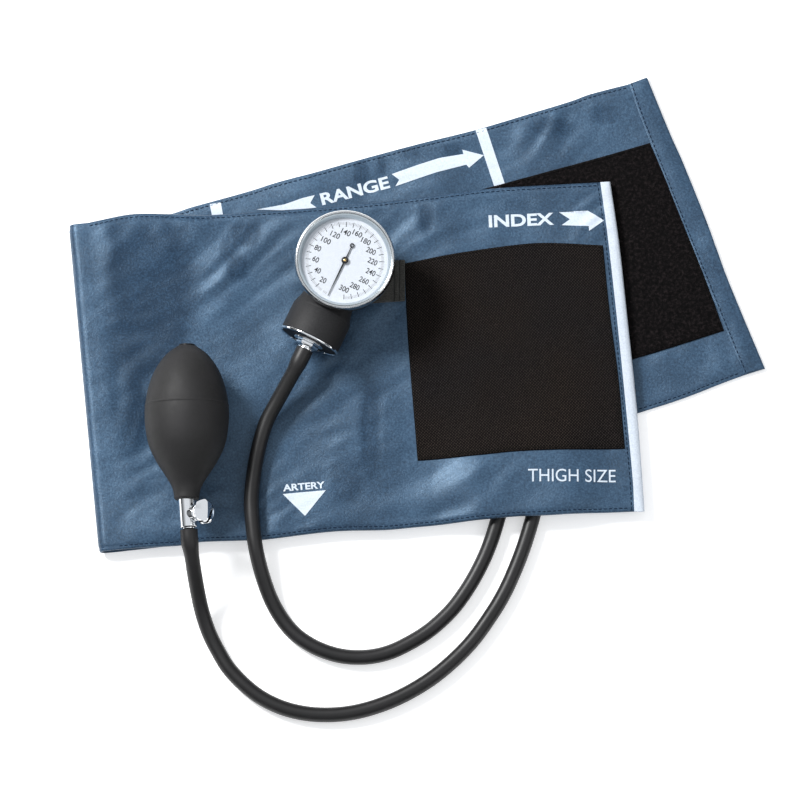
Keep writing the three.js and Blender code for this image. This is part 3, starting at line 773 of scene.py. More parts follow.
def thickness(distance, full):
    """Half the thickness this far from a hemmed edge, with a dip at the stitching."""
    round_over = quarter_round(distance, EDGE_ROUND)
    dip = 0.22 * np.exp(-((distance - SEAM_IN) / 0.7) ** 2)
    return EDGE_HALF + (full - EDGE_HALF) * round_over - dip


def wrinkles(width, height, grow, seed, spread, limit):
    """Heights of a panel's wrinkles in millimetres, with a given spread and limit."""
    grid = crumple(width, height, grow, seed)
    grid = softened(grid, 2)
    grid = grid / grid.std() * spread
    return np.tanh(grid / limit) * limit


CREASE_TURN = 32.0         # the creases run mostly this way, in degrees


def creases(x, y, seed):
    """Soft diagonal creases in millimetres, stronger in some places than in others."""
    angle = np.radians(CREASE_TURN + 40 * soft_noise(x, y, 0.011, seed))
    down = (x * np.cos(angle) + y * np.sin(angle)) * 0.28
    across = y * np.cos(angle) - x * np.sin(angle)
    folds = soft_noise(down, across, 0.078, seed + 5)
    small = soft_noise(down * 1.3, across, 0.17, seed + 9)
    strength = smooth_step(soft_noise(x, y, 0.02, seed + 2), -0.35, 0.35)
    broad = soft_noise(x, y, 0.017, seed + 7)
    return 1.9 * broad + (0.2 + 0.8 * strength) * (1.9 * folds + 0.7 * small)


RESTING = [                # centre and radius of what rests on the front: bulb, then gauge
    *((-117.0, y_mm, 20.0) for y_mm in (-45.0, -30.0, -15.0, 0.0, 12.0)),
    (-20.0, 64.0, 34.0), (-36.0, 50.0, 24.0),
]


def pressed(x, y):
    """1 where nothing rests on the front half, falling to 0 beneath what does."""
    free = np.ones(np.shape(x))
    hose_spots = [(x_m / MM, y_m / MM, 9.0) for x_m, y_m, _ in GAUGE_HOSE[2:11]]
    for at_x, at_y, radius in RESTING + hose_spots:
        reach = np.hypot(x - at_x, y - at_y)
        free = np.minimum(free, smooth_step(reach, radius * 0.55, radius * 1.3))
    return free


def panel_grid(patch):
    """u and v of a panel's grid, with its size and the distance to its hemmed edges."""
    width, height = patch.size()
    us = stations(width, CLOTH_STEP, CLOTH_FINE, 0, EDGE_ROUND + 1)
    vs = stations(height, CLOTH_STEP, CLOTH_FINE, EDGE_ROUND + 1, EDGE_ROUND + 1)
    u, v = np.meshgrid(us, vs)
    distance = np.minimum(np.minimum(v, 1 - v) * height, (1 - u) * width)
    return u, v, width, height, distance


def surface(name, x, y, low, high):
    return sharpen(shell(name, np.stack([x, y, high], -1), np.stack([x, y, low], -1)), 50)


def add_uv(piece, a, b):
    """A UV map in millimetres for a piece made by surface."""
    places = np.tile(np.stack([np.ravel(a), np.ravel(b)], -1), (2, 1))
    corners = np.empty(len(piece.data.loops), int)
    piece.data.loops.foreach_get("vertex_index", corners)
    layer = piece.data.uv_layers.new(name="millimetres")
    layer.data.foreach_set("uv", places[corners].ravel())


HOOK_PATCH = Patch(*HOOK_EDGES)
LOOP_PATCH = Patch(*LOOP_EDGES)
FRONT = Patch(FRONT_BOTTOM, FRONT_RIGHT, FRONT_TOP, FRONT_LEFT)
TAIL = Patch(TAIL_BOTTOM, TAIL_RIGHT, TAIL_TOP, TAIL_LEFT)


def inside_four(x, y, edges, soft):
    """1 well inside a four-sided outline, falling to 0 over a width outside it."""
    bottom, right, top, _ = edges
    corners = [np.array(bottom[0]), np.array(bottom[-1]), np.array(top[-1]), np.array(top[0])]
    inside = np.ones(np.shape(x))
    for a, b in zip(corners, corners[1:] + corners[:1]):
        way = (b - a) / np.linalg.norm(b - a)
        distance = (y - a[1]) * way[0] - (x - a[0]) * way[1]
        inside = np.minimum(inside, smooth_step(distance, -soft, 2))
    return inside


# Places where shade is painted on the satin, where its folds and dents turn from the light:
# centre, half width, half height and strength.
FRONT_PAINTED_SHADES = [
    (-142.0, 52.0, 26.0, 50.0, 1.0), (-153.0, -8.0, 13.0, 27.0, 0.9), (-86.0, 92.0, 9.0, 6.0, 0.8),
    (-90.0, 72.0, 5.5, 7.0, 0.8), (-95.0, 84.0, 4.0, 9.0, 0.5), (-16.0, -18.0, 5.5, 27.0, 0.6),
    (-30.0, -48.0, 8.0, 13.0, 0.5), (14.0, 100.0, 4.5, 8.0, 0.8), (62.0, 108.0, 9.0, 4.0, 0.4),
]
TAIL_PAINTED_SHADES = [
    (-21.5, 127.5, 4.5, 6.5, 0.8), (-10.7, 131.5, 3.0, 6.0, 0.7), (5.0, 137.5, 5.0, 3.5, 0.5),
    (28.6, 139.5, 5.0, 4.0, 0.6), (84.0, 152.0, 13.0, 6.0, 0.6), (112.0, 160.0, 9.0, 5.0, 0.5),
]
PAINTED_SHADE_FADE = 16.0          # the front's painted shade fades out over this distance from the fold
PAINTED_SHADE_RIM = (0.72, 1.2)    # and between these shares of a shade's size


def shades(x, y, spots):
    """How much painted shade darkens the satin, from 0 to 1, with uneven outlines."""
    wobble = 0.34 * soft_noise(x, y, 0.04, 21.0) + 0.16 * soft_noise(x, y, 0.11, 22.0)
    value = np.zeros(np.shape(x))
    for at_x, at_y, half_x, half_y, strength in spots:
        reach = (np.abs((x - at_x) / half_x) ** 3 + np.abs((y - at_y) / half_y) ** 3) ** (1 / 3)
        value = np.maximum(value, strength * (1 - smooth_step(reach + wobble, *PAINTED_SHADE_RIM)))
    return value


def add_shade(piece, values):
    """Stores the painted shade on the upper face of a piece made by surface."""
    layer = piece.data.attributes.new("shade", "FLOAT", "POINT")
    layer.data.foreach_set("value", np.concatenate([np.ravel(values), np.zeros(values.size)]))


def front_panel():
    u, v, width, height, distance = panel_grid(FRONT)
    x, y = FRONT.across(u, v)
    from_fold = smooth_step(u * width, 0, FOLD_FADE)
    middle = FOLD_Z + BEND_RADIUS + (FRONT_MIDDLE - FOLD_Z - BEND_RADIUS) * from_fold
    full = BEND_HALF + (FRONT_HALF - BEND_HALF) * from_fold
    half = thickness(distance, full)
    waves = sampled(wrinkles(width, height, 0.022, 3, 0.35, 1.0), u, v) + creases(x, y, 3.0)
    waves = np.tanh(waves / FRONT_WAVE) * FRONT_WAVE
    waves = waves * smooth_step(distance, 0, HEM_FADE) * smooth_step(u * width, 0, WAVE_FADE)
    waves = waves * (1 - 0.8 * inside_four(x, y, HOOK_EDGES, 12))
    waves = np.minimum(waves, waves * pressed(x, y))
    # painted shade on the front's satin, where its folds turn from the light
    shade = shades(x, y, FRONT_PAINTED_SHADES) * smooth_step(u * width, 0, PAINTED_SHADE_FADE)
    waves = waves * (1 - 0.6 * shade)
    lift = rise(x, y) + 0.35 * soft_noise(x, y, 0.03, 4.0) * smooth_step(u * width, 0, 25)
    high = middle + half + waves + lift
    low = middle - half + 0.25 * np.minimum(waves, 0) + lift
    piece = surface("front_cloth", x, y, low, high)
    add_shade(piece, shade)
    return finish_piece(piece, "navy_nylon", "front_half",
                        replaces=["front_face_cover", "front_back_cover", "bladder",
                                  "bladder_port_gauge", "bladder_port_bulb"])


def tail_panel():
    u, v, width, height, distance = panel_grid(TAIL)
    x, y = TAIL.across(u, v)
    half = thickness(distance, BEND_HALF)
    waves = sampled(wrinkles(width, height, 0.012, 8, 0.2, 0.7), u, v)
    waves = waves + 0.7 * creases(x, y, 11.0)
    waves = np.tanh(waves / TAIL_WAVE) * TAIL_WAVE + TAIL_LIFT
    waves = waves * smooth_step(distance, 0, HEM_FADE) * smooth_step(u * width, 0, WAVE_FADE)
    waves = waves * (1 - 0.6 * inside_four(x, y, LOOP_EDGES, 8))
    high = TAIL_MIDDLE + half + waves
    low = np.maximum(TAIL_MIDDLE - half + 0.2 * np.maximum(waves, 0), TABLE_GAP)
    piece = surface("tail_cloth", x, y, low, high)
    # painted shade in the dents along the tail's upper seam
    add_shade(piece, shades(x, y, TAIL_PAINTED_SHADES))
    return finish_piece(piece, "navy_nylon", "tail",
                        replaces=["tail_face_cover", "tail_back_cover"])


def bend_panel():
    """The cloth's bend at the fold, from the front half's edge round to the tail's."""
    length = line_length(np.array([FOLD_BOTTOM, FOLD_TOP]))
    vs = stations(length, CLOTH_STEP, CLOTH_FINE, EDGE_ROUND + 1, EDGE_ROUND + 1)
    flats = np.linspace(FOLD_JOIN, 0, 4)
    turns = np.linspace(0, math.pi, 17)[1:-1]
    # each station is (distance right of the axis, height of the middle, outward x, outward z)
    upper = [(d, FOLD_Z + BEND_RADIUS, 0.0, 1.0) for d in flats]
    bend = [(-BEND_RADIUS * math.sin(a), FOLD_Z + BEND_RADIUS * math.cos(a),
             -math.sin(a), math.cos(a)) for a in turns]
    lower = [(d, TAIL_MIDDLE, 0.0, -1.0) for d in flats[::-1]]
    stops = upper + bend + lower
    half = thickness(np.minimum(vs, 1 - vs) * length, BEND_HALF)
    outer = np.zeros((len(vs), len(stops), 3))
    inner = np.zeros_like(outer)
    for i, (d, z, out_x, out_z) in enumerate(stops):
        for grid, side in ((outer, 1), (inner, -1)):
            for j, (t, h) in enumerate(zip(vs, half)):
                reach = d + side * h * out_x
                grid[j, i, :2] = fold_point(t, reach)
                grid[j, i, 2] = z + side * h * out_z
    piece = sharpen(shell("bend_cloth", outer, inner), 50)
    finish_piece(piece, "navy_nylon", None, replaces=["cover_fold"])
    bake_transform(piece)
    return piece, (FOLD_JOIN * 2 + math.pi * BEND_RADIUS, length)


# ---- what lies on the cloth ----
def laid(name, patch, ground, thick, step, relief=None, sink=0.15, edge=0.8, fine=None):
    """A closed flat piece lying on a surface, with rounded edges and a relief on top."""
    width, height = patch.size()
    fine = fine or min(step, 0.5)
    us = stations(width, step, fine, 1.5, 1.5)
    vs = stations(height, step, fine, 1.5, 1.5)
    u, v = np.meshgrid(us, vs)
    x, y = patch.across(u, v)
    base = ground.heights(x, y)
    distance = np.minimum(np.minimum(u, 1 - u) * width, np.minimum(v, 1 - v) * height)
    round_over = quarter_round(distance, edge)
    high = base + 0.1 + thick * (0.35 + 0.65 * round_over)
    if relief is not None:
        high = high + relief(u * width, v * height, distance)
    piece = surface(name, x, y, base - sink, high)
    add_uv(piece, u * width, v * height)
    return piece


def hook_relief(a, b, distance):
    """Rows of hooks in zigzag lines, with a plain selvedge."""
    swing = np.abs((a / HOOK_PITCH) % 1 - 0.5) * HOOK_SWING
    row = 0.5 + 0.5 * np.cos(2 * math.pi * (b / HOOK_PITCH + swing))
    tufts = 0.6 + 0.5 * soft_noise(a, b, 0.9, 6.0)
    return 0.7 * row * tufts * smooth_step(distance, 1.6, 2.6) - 0.1


def loop_relief(a, b, distance):
    """Clumps of loop pile."""
    clumps = soft_noise(a, b, 0.55, 2.0) + 0.6 * soft_noise(a, b, 1.1, 9.0)
    return (0.2 + 0.42 * clumps) * smooth_step(distance, 0, 1.2)


def patches(front, tail):
    hook = laid("hook_tape_patch", HOOK_PATCH, front, 1.0, 0.45, hook_relief, fine=0.45)
    finish_piece(hook, "hook_tape", "front_half", replaces=["hook_patch"])
    loop = laid("loop_pile_patch", LOOP_PATCH, tail, 1.0, 0.6, loop_relief, fine=0.6)
    finish_piece(loop, "loop_pile", "tail", replaces=["loop_patch"])
    return hook, loop


def bindings(front, tail):
    """The white strip bound over the front's edge, and the tail's hem."""
    binding = Patch([STRIP_LEFT[0], FRONT_RIGHT[0]], FRONT_RIGHT,
                    [STRIP_LEFT[-1], FRONT_RIGHT[-1]], STRIP_LEFT)
    width, height = binding.size()
    u, v = np.meshgrid(np.linspace(0, 1, 13), stations(height, 2.0, 0.5, 1, 1))
    x, y = binding.across(u, v)
    top = front.heights(x - 1.2 * u, np.clip(y, -62.3, 119.6))
    curl = quarter_round((1 - u) * width, STRIP_CURL)
    high = top + 0.42 - 1.3 * (1 - curl)
    low = top - 0.2 - (2.6 - 0.9 * (1 - curl)) * smooth_step(u, 0.25, 0.5)
    strip = surface("index_binding", x + 0.5 * u, y, low, high)
    finish_piece(strip, "white_tape", "front_half", replaces=["index_strip"])

    hem_patch = Patch([HEM_LEFT[0], TAIL_RIGHT[0]], TAIL_RIGHT,
                      [HEM_LEFT[-1], TAIL_RIGHT[-1]], HEM_LEFT)
    hem = laid("tail_end_hem", hem_patch, tail, 0.55, 2.0, sink=0.3)
    finish_piece(hem, "navy_nylon", "tail", replaces=["tail_hem"])
    return strip, hem


# ---- stitching ----
STITCH_PARTS = [           # place along a stitch, share of its radius, height
    (0.0, 0.3, -0.15), (0.12, 0.85, 0.1), (0.5, 1.0, 0.2), (0.88, 0.85, 0.1), (1.0, 0.3, -0.15),
]
STITCH_SIDES = 6
STITCH_PITCH = 2.8
STITCH_LENGTH = 2.1
STITCH_RADIUS = 0.23


def stitch_row(line, ground, pitch=STITCH_PITCH, length=STITCH_LENGTH, radius=STITCH_RADIUS):
    """Vertices in millimetres and faces of a row of stitches along a line on a surface."""
    line = np.asarray(line, float)
    count = int(line_length(line) / pitch)
    verts, faces = [], []
    share = length / line_length(line)
    for k in range(count):
        start = (k + 0.25) / count
        fractions = start + share * np.array([place for place, _, _ in STITCH_PARTS])
        if fractions[-1] > 1:
            break
        spots = along(line, fractions)
        way = spots[-1] - spots[0]
        way = way / np.linalg.norm(way)
        side = np.array([-way[1], way[0]])
        base = len(verts)
        for (x, y), (_, size, up) in zip(spots, STITCH_PARTS):
            z = ground.height(x, y) + up
            for s in range(STITCH_SIDES):
                angle = 2 * math.pi * s / STITCH_SIDES
                reach = radius * size * math.cos(angle)
                verts.append((x + side[0] * reach, y + side[1] * reach,
                              z + radius * size * math.sin(angle)))
        for ring in range(base, len(verts) - STITCH_SIDES, STITCH_SIDES):
            for s in range(STITCH_SIDES):
                a, b = ring + s, ring + (s + 1) % STITCH_SIDES
                faces.append((a, b, b + STITCH_SIDES, a + STITCH_SIDES))
        faces.append(tuple(range(base, base + STITCH_SIDES))[::-1])
        faces.append(tuple(range(len(verts) - STITCH_SIDES, len(verts))))
    return verts, faces


def stitching(name, rows, ground, slot, body, thread=THREAD, **sizes):
    verts, faces = [], []
    for line in rows:
        more, new = stitch_row(line, ground, **sizes)
        faces += [tuple(i + len(verts) for i in face) for face in new]
        verts += more
    piece = add_mesh(name, np.array(verts) * MM, faces)
    return finish_piece(piece, slot, body, thread)


def inset_row(patch, side, distance, start=0.005, end=0.995, count=90):
    """A line a distance in from one side of a patch."""
    width, height = patch.size()
    level = side in ("top", "bottom")
    run = np.linspace(start, end, count)
    inward = np.full(count, distance) / (height if level else width)
    if side in ("top", "right"):
        inward = 1 - inward
    return patch.at(run, inward) if level else patch.at(inward, run)


def offset_line(points, distance):
    """A line moved sideways, to the left of its direction."""
    line = spline(points, 6)
    way = np.gradient(line, axis=0)
    way /= np.linalg.norm(way, axis=1)[:, None]
    return line + distance * np.stack([-way[:, 1], way[:, 0]], -1)


def all_stitching(front, tail, hook, loop, hem):
    seams = [inset_row(FRONT, "top", SEAM_IN, 0.0, 0.975),
             inset_row(FRONT, "bottom", SEAM_IN, 0.0, 0.97),
             offset_line(STRIP_LEFT, 1.5)]
    front_rows = stitching("front_stitching", seams, front, "navy_nylon", "front_half")
    seams = [inset_row(TAIL, "top", SEAM_IN, 0.0, 0.96),
             inset_row(TAIL, "bottom", SEAM_IN, 0.0, 0.96)]
    tail_rows = stitching("tail_stitching", seams, tail, "navy_nylon", "tail")
    seams = [offset_line(HEM_LEFT, -1.5)]
    hem_rows = stitching("hem_stitching", seams, hem, "navy_nylon", "tail")
    seams = [inset_row(HOOK_PATCH, side, 1.3) for side in ("top", "bottom", "left", "right")]
    hook_rows = stitching("hook_patch_stitching", seams, hook, "hook_tape", "front_half",
                          BLACK_THREAD, radius=0.16)
    seams = [inset_row(LOOP_PATCH, side, 1.5) for side in ("top", "bottom", "right")]
    loop_rows = stitching("loop_patch_stitching", seams, loop, "loop_pile", "tail",
                          BLACK_THREAD, radius=0.16)
    return [front_rows, hook_rows], [tail_rows, hem_rows, loop_rows]


# ---- printed marks ----
INK_LIFT = 0.25
INK_STEP = 1.2


def drape(name, bm, ground, body):
    """Cuts a flat shape finely enough to follow the cloth and lays it there."""
    for _ in range(6):
        long = [e for e in bm.edges if e.calc_length() > INK_STEP]
        if not long:
            break
        bmesh.ops.subdivide_edges(bm, edges=long, cuts=1)
        bmesh.ops.triangulate(bm, faces=bm.faces)
    for v in bm.verts:
        v.co.z = ground.height(v.co.x, v.co.y) + INK_LIFT
    bmesh.ops.scale(bm, vec=(MM, MM, MM), verts=bm.verts)
    mesh = bpy.data.meshes.new(name)
    bm.to_mesh(mesh)
    bm.free()
    mesh.shade_smooth()
    return finish_piece(placed(name, mesh), "white_tape", body, INK)


def text_mesh(word, weight=0.0):
    """Flat letters as a mesh from (0, 0), one unit wide and one unit tall."""
    data = bpy.data.curves.new(word, "FONT")
    data.body = word
    data.offset = weight
    data.resolution_u = 5
    holder = placed(word, data)
    bpy.context.view_layer.update()
    mesh = bpy.data.meshes.new_from_object(
        holder.evaluated_get(bpy.context.evaluated_depsgraph_get()))
    bpy.data.objects.remove(holder)
    points = np.array([v.co[:2] for v in mesh.vertices])
    low, high = points.min(0), points.max(0)
    for v in mesh.vertices:
        v.co.x = (v.co.x - low[0]) / (high[0] - low[0])
        v.co.y = (v.co.y - low[1]) / (high[1] - low[1])
    return mesh


def print_word(name, word, start, end, height, weight, ground, body):
    way = Vector(end) - Vector(start)
    up = Vector((-way.y, way.x)).normalized() * height
    bm = bmesh.new()
    bm.from_mesh(text_mesh(word, weight))
    for v in bm.verts:
        v.co = (*(Vector(start) + way * v.co.x + up * v.co.y), 0.0)
    return drape(name, bm, ground, body)


def print_shape(name, outline, ground, body):
    bm = bmesh.new()
    bm.faces.new([bm.verts.new((x, y, 0)) for x, y in outline])
    bmesh.ops.triangulate(bm, faces=bm.faces)
    return drape(name, bm, ground, body)


# Outlines in millimetres. Words are text, start, end, height and extra stroke weight.
TAIL_SHAPES = {
    "range_strip_1": [(-105.1, 109.4), (-103.4, 101.0), (-97.4, 101.2), (-99.0, 110.4)],
    "range_strip_2": [(41.3, 151.0), (52.4, 117.0), (58.2, 118.6), (47.2, 152.4)],
    "range_arrow_left": [
        (-79.2, 106.2), (-63.8, 109.2), (-54.2, 112.6), (-47.3, 114.3), (-49.7, 109.8),
        (-46.3, 107.3), (-62.0, 105.8),
    ],
    "range_arrow_right": [
        (-4.8, 126.2), (-0.7, 123.0), (-2.8, 119.4), (8.2, 123.2), (19.8, 127.1), (36.3, 131.4),
        (37.8, 129.7), (45.9, 136.8), (34.1, 139.9), (34.7, 137.5), (22.0, 135.3), (8.2, 130.8),
    ],
}
TAIL_WORDS = [("range_word", "RANGE", (-42.9, 108.5), (-5.5, 118.5), 6.9, 0.03)]
FRONT_SHAPES = {
    "index_arrow": [
        (87.3, 103.7), (93.2, 99.7), (88.7, 96.4), (103.6, 95.8), (103.8, 93.1),
        (112.0, 99.1), (103.0, 104.7), (101.8, 103.1),
    ],
    "artery_mark": [(-64.7, -53.9), (-52.4, -66.1), (-41.0, -51.8)],
}
FRONT_WORDS = [
    ("index_word", "INDEX", (48.7, 95.0), (84.5, 96.6), 6.8, 0.03),
    ("artery_word", "ARTERY", (-64.4, -52.5), (-41.4, -50.6), 3.9, 0.03),
    ("size_word", "THIGH SIZE", (70.1, -47.7), (118.2, -47.4), 7.1, 0.0),
]


def prints(shapes, words, ground, body):
    return ([print_shape(name, outline, ground, body) for name, outline in shapes.items()]
            + [print_word(*word, ground, body) for word in words])


# ---- the gauge ----
GAUGE_PLACE = moved(*GAUGE_CENTRE, 0) @ rotated(GAUGE_TURN, "Z")
DRUM_PLACE = GAUGE_PLACE @ moved(0, 0, DRUM_AXIS_Z) @ rotated(90, "X")
DEGREES_PER_MMHG = 1.12
FULL_SCALE = 300
NUMBERS_REACH = 18.0       # the dial numbers end this far from its centre
DIGIT_WIDTH = 1.78
DIGIT_HEIGHT = 3.1
DIAL_Z = 46.0
INK_HALF = 0.05            # half the height of the dial's marks
NEEDLE_LOW = 46.55
NEEDLE_HIGH = 46.9
RING_Y = 9.25              # centre of the ring on the needle's tail


def turned_piece(name, profile, place, slot, node=None, body="front_half", material=None, **how):
    """A lathe-turned piece with its material and body, in place of a CAD node if one is given."""
    piece = turned(name, profile, place, **how)
    return finish_piece(piece, slot, body, material, [node] if node else [])


def dial_direction(pressure):
    angle = math.radians(-90 - DEGREES_PER_MMHG * pressure)
    return Vector((math.cos(angle), math.sin(angle)))


def dial_bars(name, pressures, inner, outer, width, ink):
    verts, faces = [], []
    for pressure in pressures:
        way = dial_direction(pressure)
        side = Vector((-way.y, way.x)) * width / 2
        corners = (way * inner - side, way * inner + side, way * outer + side, way * outer - side)
        faces += prism_faces(4, len(verts))
        verts += [(*spot, z) for z in (DIAL_Z - INK_HALF, DIAL_Z + INK_HALF) for spot in corners]
    piece = add_mesh(name, np.array(verts) * MM, faces, smooth=False)
    piece.data.transform(GAUGE_PLACE)
    return finish_piece(piece, "black_paint", "front_half", ink)


def dial_numbers():
    pieces = []
    for pressure in range(20, FULL_SCALE + 1, 20):
        word = str(pressure)
        mesh = text_mesh(word, 0.012)
        width, height = DIGIT_WIDTH * len(word), DIGIT_HEIGHT
        way = dial_direction(pressure)
        spot = way * (NUMBERS_REACH - 0.45 * (abs(way.x) * width + abs(way.y) * height))
        for v in mesh.vertices:
            v.co = ((spot.x + (v.co.x - 0.5) * width) * MM,
                    (spot.y + (v.co.y - 0.5) * height) * MM, (DIAL_Z + INK_HALF) * MM)
        pieces.append(placed(word, mesh))
    piece = joined("dial_numbers", pieces)
    piece.data.transform(GAUGE_PLACE)
    return finish_piece(piece, "black_paint", "front_half", DIAL_INK)


def pointer_piece():
    """The needle with its ring-shaped counterweight."""
    outline = [(-0.45, 0.0), (-0.38, -6.0), (-0.12, -21.7), (0.12, -21.7), (0.38, -6.0),
               (0.45, 0.0), (0.26, 4.0), (0.24, 8.3), (-0.24, 8.3), (-0.26, 4.0)]
    verts = [(x, y, z) for z in (NEEDLE_LOW, NEEDLE_HIGH) for x, y in outline]
    needle = add_mesh("needle", np.array(verts) * MM, prism_faces(len(outline)), smooth=False)
    ring = turned("ring", [(0.7, NEEDLE_LOW), (1.25, NEEDLE_LOW), (1.25, NEEDLE_HIGH),
                           (0.7, NEEDLE_HIGH)], moved(0, RING_Y, 0), 24, closed=True)
    piece = joined("dial_needle", [needle, ring])
    piece.data.transform(GAUGE_PLACE)
    finish_piece(piece, "black_paint", "pointer", replaces=["pointer"])
    hub = [(0, 47.9), (1.3, 47.9), (1.9, 47.5), (1.9, 46.9), (0, 46.9)]
    turned_piece("needle_hub", hub, GAUGE_PLACE, "black_paint", "pointer_hub", "pointer",
                 segments=32)
    pin = [(0, 48.15), (0.5, 48.1), (0.72, 47.95), (0.72, 46.5), (0, 46.5)]
    turned_piece("needle_pin", pin, GAUGE_PLACE, "brass", body="pointer", segments=24)


def gauge():
    head = rounded([(0, 24), (23, 24, 6), (26, 31, 6), (26.2, 44.8), (25.2, 44.8), (25.2, 43),
                    (0, 43)], 6)
    drum = rounded([(0, 20), (14.2, 20), (15.2, 25, 1.5), (16.6, 28.6, 1.0), (16.75, 29.6),
                    (16.95, 29.9), (16.95, 44.9, 0.4), (16.2, 45.1), (0, 45.1)], 5)
    case = joined("gauge_body", [turned("head", head, GAUGE_PLACE, 96),
                                 turned("drum", drum, DRUM_PLACE, 96)])
    finish_piece(case, "case_enamel", "front_half", replaces=["gauge_case"])
    plate = rounded([(0, 45.0), (16.9, 45.0), (17.5, 45.2, 0.3), (17.5, 46.2, 0.5),
                     (16.6, 46.5, 0.3), (16.2, 45.8, 0.3), (0, 45.8)])
    turned_piece("gauge_base_plate", plate, DRUM_PLACE, "chrome", "base_plate", segments=96)
    # painted shade: a dark disc over the base plate's face, where shade falls under the gauge
    painted_shade_disc = [(0, 45.85), (16.1, 45.85), (16.1, 45.95), (0, 45.95)]
    turned_piece("gauge_base_painted_shade", painted_shade_disc, DRUM_PLACE, "case_enamel", segments=96)
    washer = rounded([(0, 45.6), (8.6, 45.6), (8.6, 46.8, 0.4), (0, 46.9)])
    nut = rounded([(0, 46.6), (6.4, 46.6), (6.4, 48.8, 0.5), (5.2, 49.5, 0.3), (0, 49.5)])
    nut = joined("gauge_nut", [turned("nut", nut, DRUM_PLACE, 6, sharp=20),
                               turned("washer", washer, DRUM_PLACE, 48)])
    finish_piece(nut, "chrome", "front_half", replaces=["stem_nut"])
    stem = rounded([(0, 49.3), (3.0, 49.3), (3.0, 50.0), (4.4, 50.1, 0.3), (4.4, 51.2, 0.3),
                    (2.5, 51.4), (2.5, 55), (0, 55)])
    turned_piece("gauge_barb", stem, DRUM_PLACE, "chrome", "gauge_stem", segments=32)
    rim = rounded([(26.2, 44.2), (27.6, 44.3, 0.5), (27.9, 47.0, 1.0), (27.5, 49.6, 1.0),
                   (26.8, 50.8, 0.8), (26.0, 50.7, 0.5), (25.5, 49.9), (25.6, 45.6),
                   (25.6, 44.2)], 5)
    turned_piece("gauge_bezel", rim, GAUGE_PLACE, "chrome", "bezel", material=RIM_METAL,
                 segments=128, closed=True)
    # the bezel's inner wall, with its reflection painted in a darker, bluish metal
    painted_reflection_wall = [(25.62, 49.85), (25.1, 49.85), (23.7, 46.1), (23.9, 45.9), (25.62, 45.9)]
    turned_piece("bezel_painted_reflection", painted_reflection_wall, GAUGE_PLACE, "steel", material=PAINTED_REFLECTION_METAL, segments=128,
                 closed=True, sharp=20)
    face = [(0.9, 45.3), (25.1, 45.3), (25.1, DIAL_Z), (0.9, DIAL_Z)]
    turned_piece("gauge_dial", face, GAUGE_PLACE, "dial_face", "dial", segments=128, closed=True)
    glass = [(0, 48.9), (24.7, 48.9), (25.0, 49.6), (18, 49.85), (9, 50.0), (0, 50.05)]
    turned_piece("gauge_crystal", glass, GAUGE_PLACE, "crystal", "crystal", segments=96)
    tens = list(range(20, FULL_SCALE + 1, 10))
    twos = [p for p in range(4, FULL_SCALE + 1, 2) if p % 10]
    dial_bars("dial_marks", [0] + tens, 18.9, 21.6, 0.38, DIAL_INK)
    dial_bars("dial_fine_marks", twos, 20.0, 21.5, 0.26, FINE_INK)
    dial_numbers()
    pointer_piece()


WEBBING_RIB = 0.24         # height of the webbing's ribs, which show on its upper side
WEBBING_UPPER = 10.6       # that side is above this height
WEBBING_SLANT = 0.07       # its ends slant this much about the line x = -20


def webbing_loop():
    """The webbing tube the gauge hooks into, sewn down along a flat strip at its right."""
    outer = [(2.2, 9.3), (-44.0, 9.3), (-45.2, 10.3), (-45.4, 12.0), (-45.0, 13.6),
             (-43.8, 14.3), (-10.0, 14.3), (-7.2, 13.5), (-5.4, 12.0), (-4.3, 11.7),
             (-3.6, 10.1), (-2.9, 11.7), (-1.5, 11.6), (-0.8, 10.0), (-0.1, 11.5),
             (2.0, 11.3), (2.5, 10.4)]
    inner = [(-8.0, 10.4), (-43.0, 10.4), (-43.8, 10.9), (-44.1, 12.0), (-43.8, 12.9),
             (-43.0, 13.2), (-11.0, 13.2), (-9.0, 12.6), (-8.0, 11.4), (-7.7, 11.2),
             (-7.6, 11.0), (-7.5, 10.95), (-7.5, 10.9), (-7.5, 10.8), (-7.5, 10.7),
             (-7.6, 10.6), (-7.7, 10.5)]
    rows = np.arange(52.3, 75.1, 0.25)
    count = len(outer)
    verts, faces = [], []
    for y in rows:
        swell = WEBBING_RIB * math.sin(2 * math.pi * y)
        upper = [(x, z + (swell if z > WEBBING_UPPER else 0)) for x, z in outer]
        verts += [(x, y + WEBBING_SLANT * (x + 20), z) for x, z in upper + inner]
    for j in range(len(rows) - 1):
        for k in range(count):
            n = (k + 1) % count
            a, b = j * 2 * count, (j + 1) * 2 * count
            faces.append((a + k, a + n, b + n, b + k))
            faces.append((a + count + n, a + count + k, b + count + k, b + count + n))
    last = (len(rows) - 1) * 2 * count
    for k in range(count):
        n = (k + 1) % count
        faces.append((k, k + count, n + count, n))
        faces.append((last + k, last + n, last + n + count, last + k + count))
    piece = sharpen(add_mesh("webbing_loop", np.array(verts) * MM, faces), 40)
    return finish_piece(piece, "webbing", "front_half", replaces=["gauge_loop"])


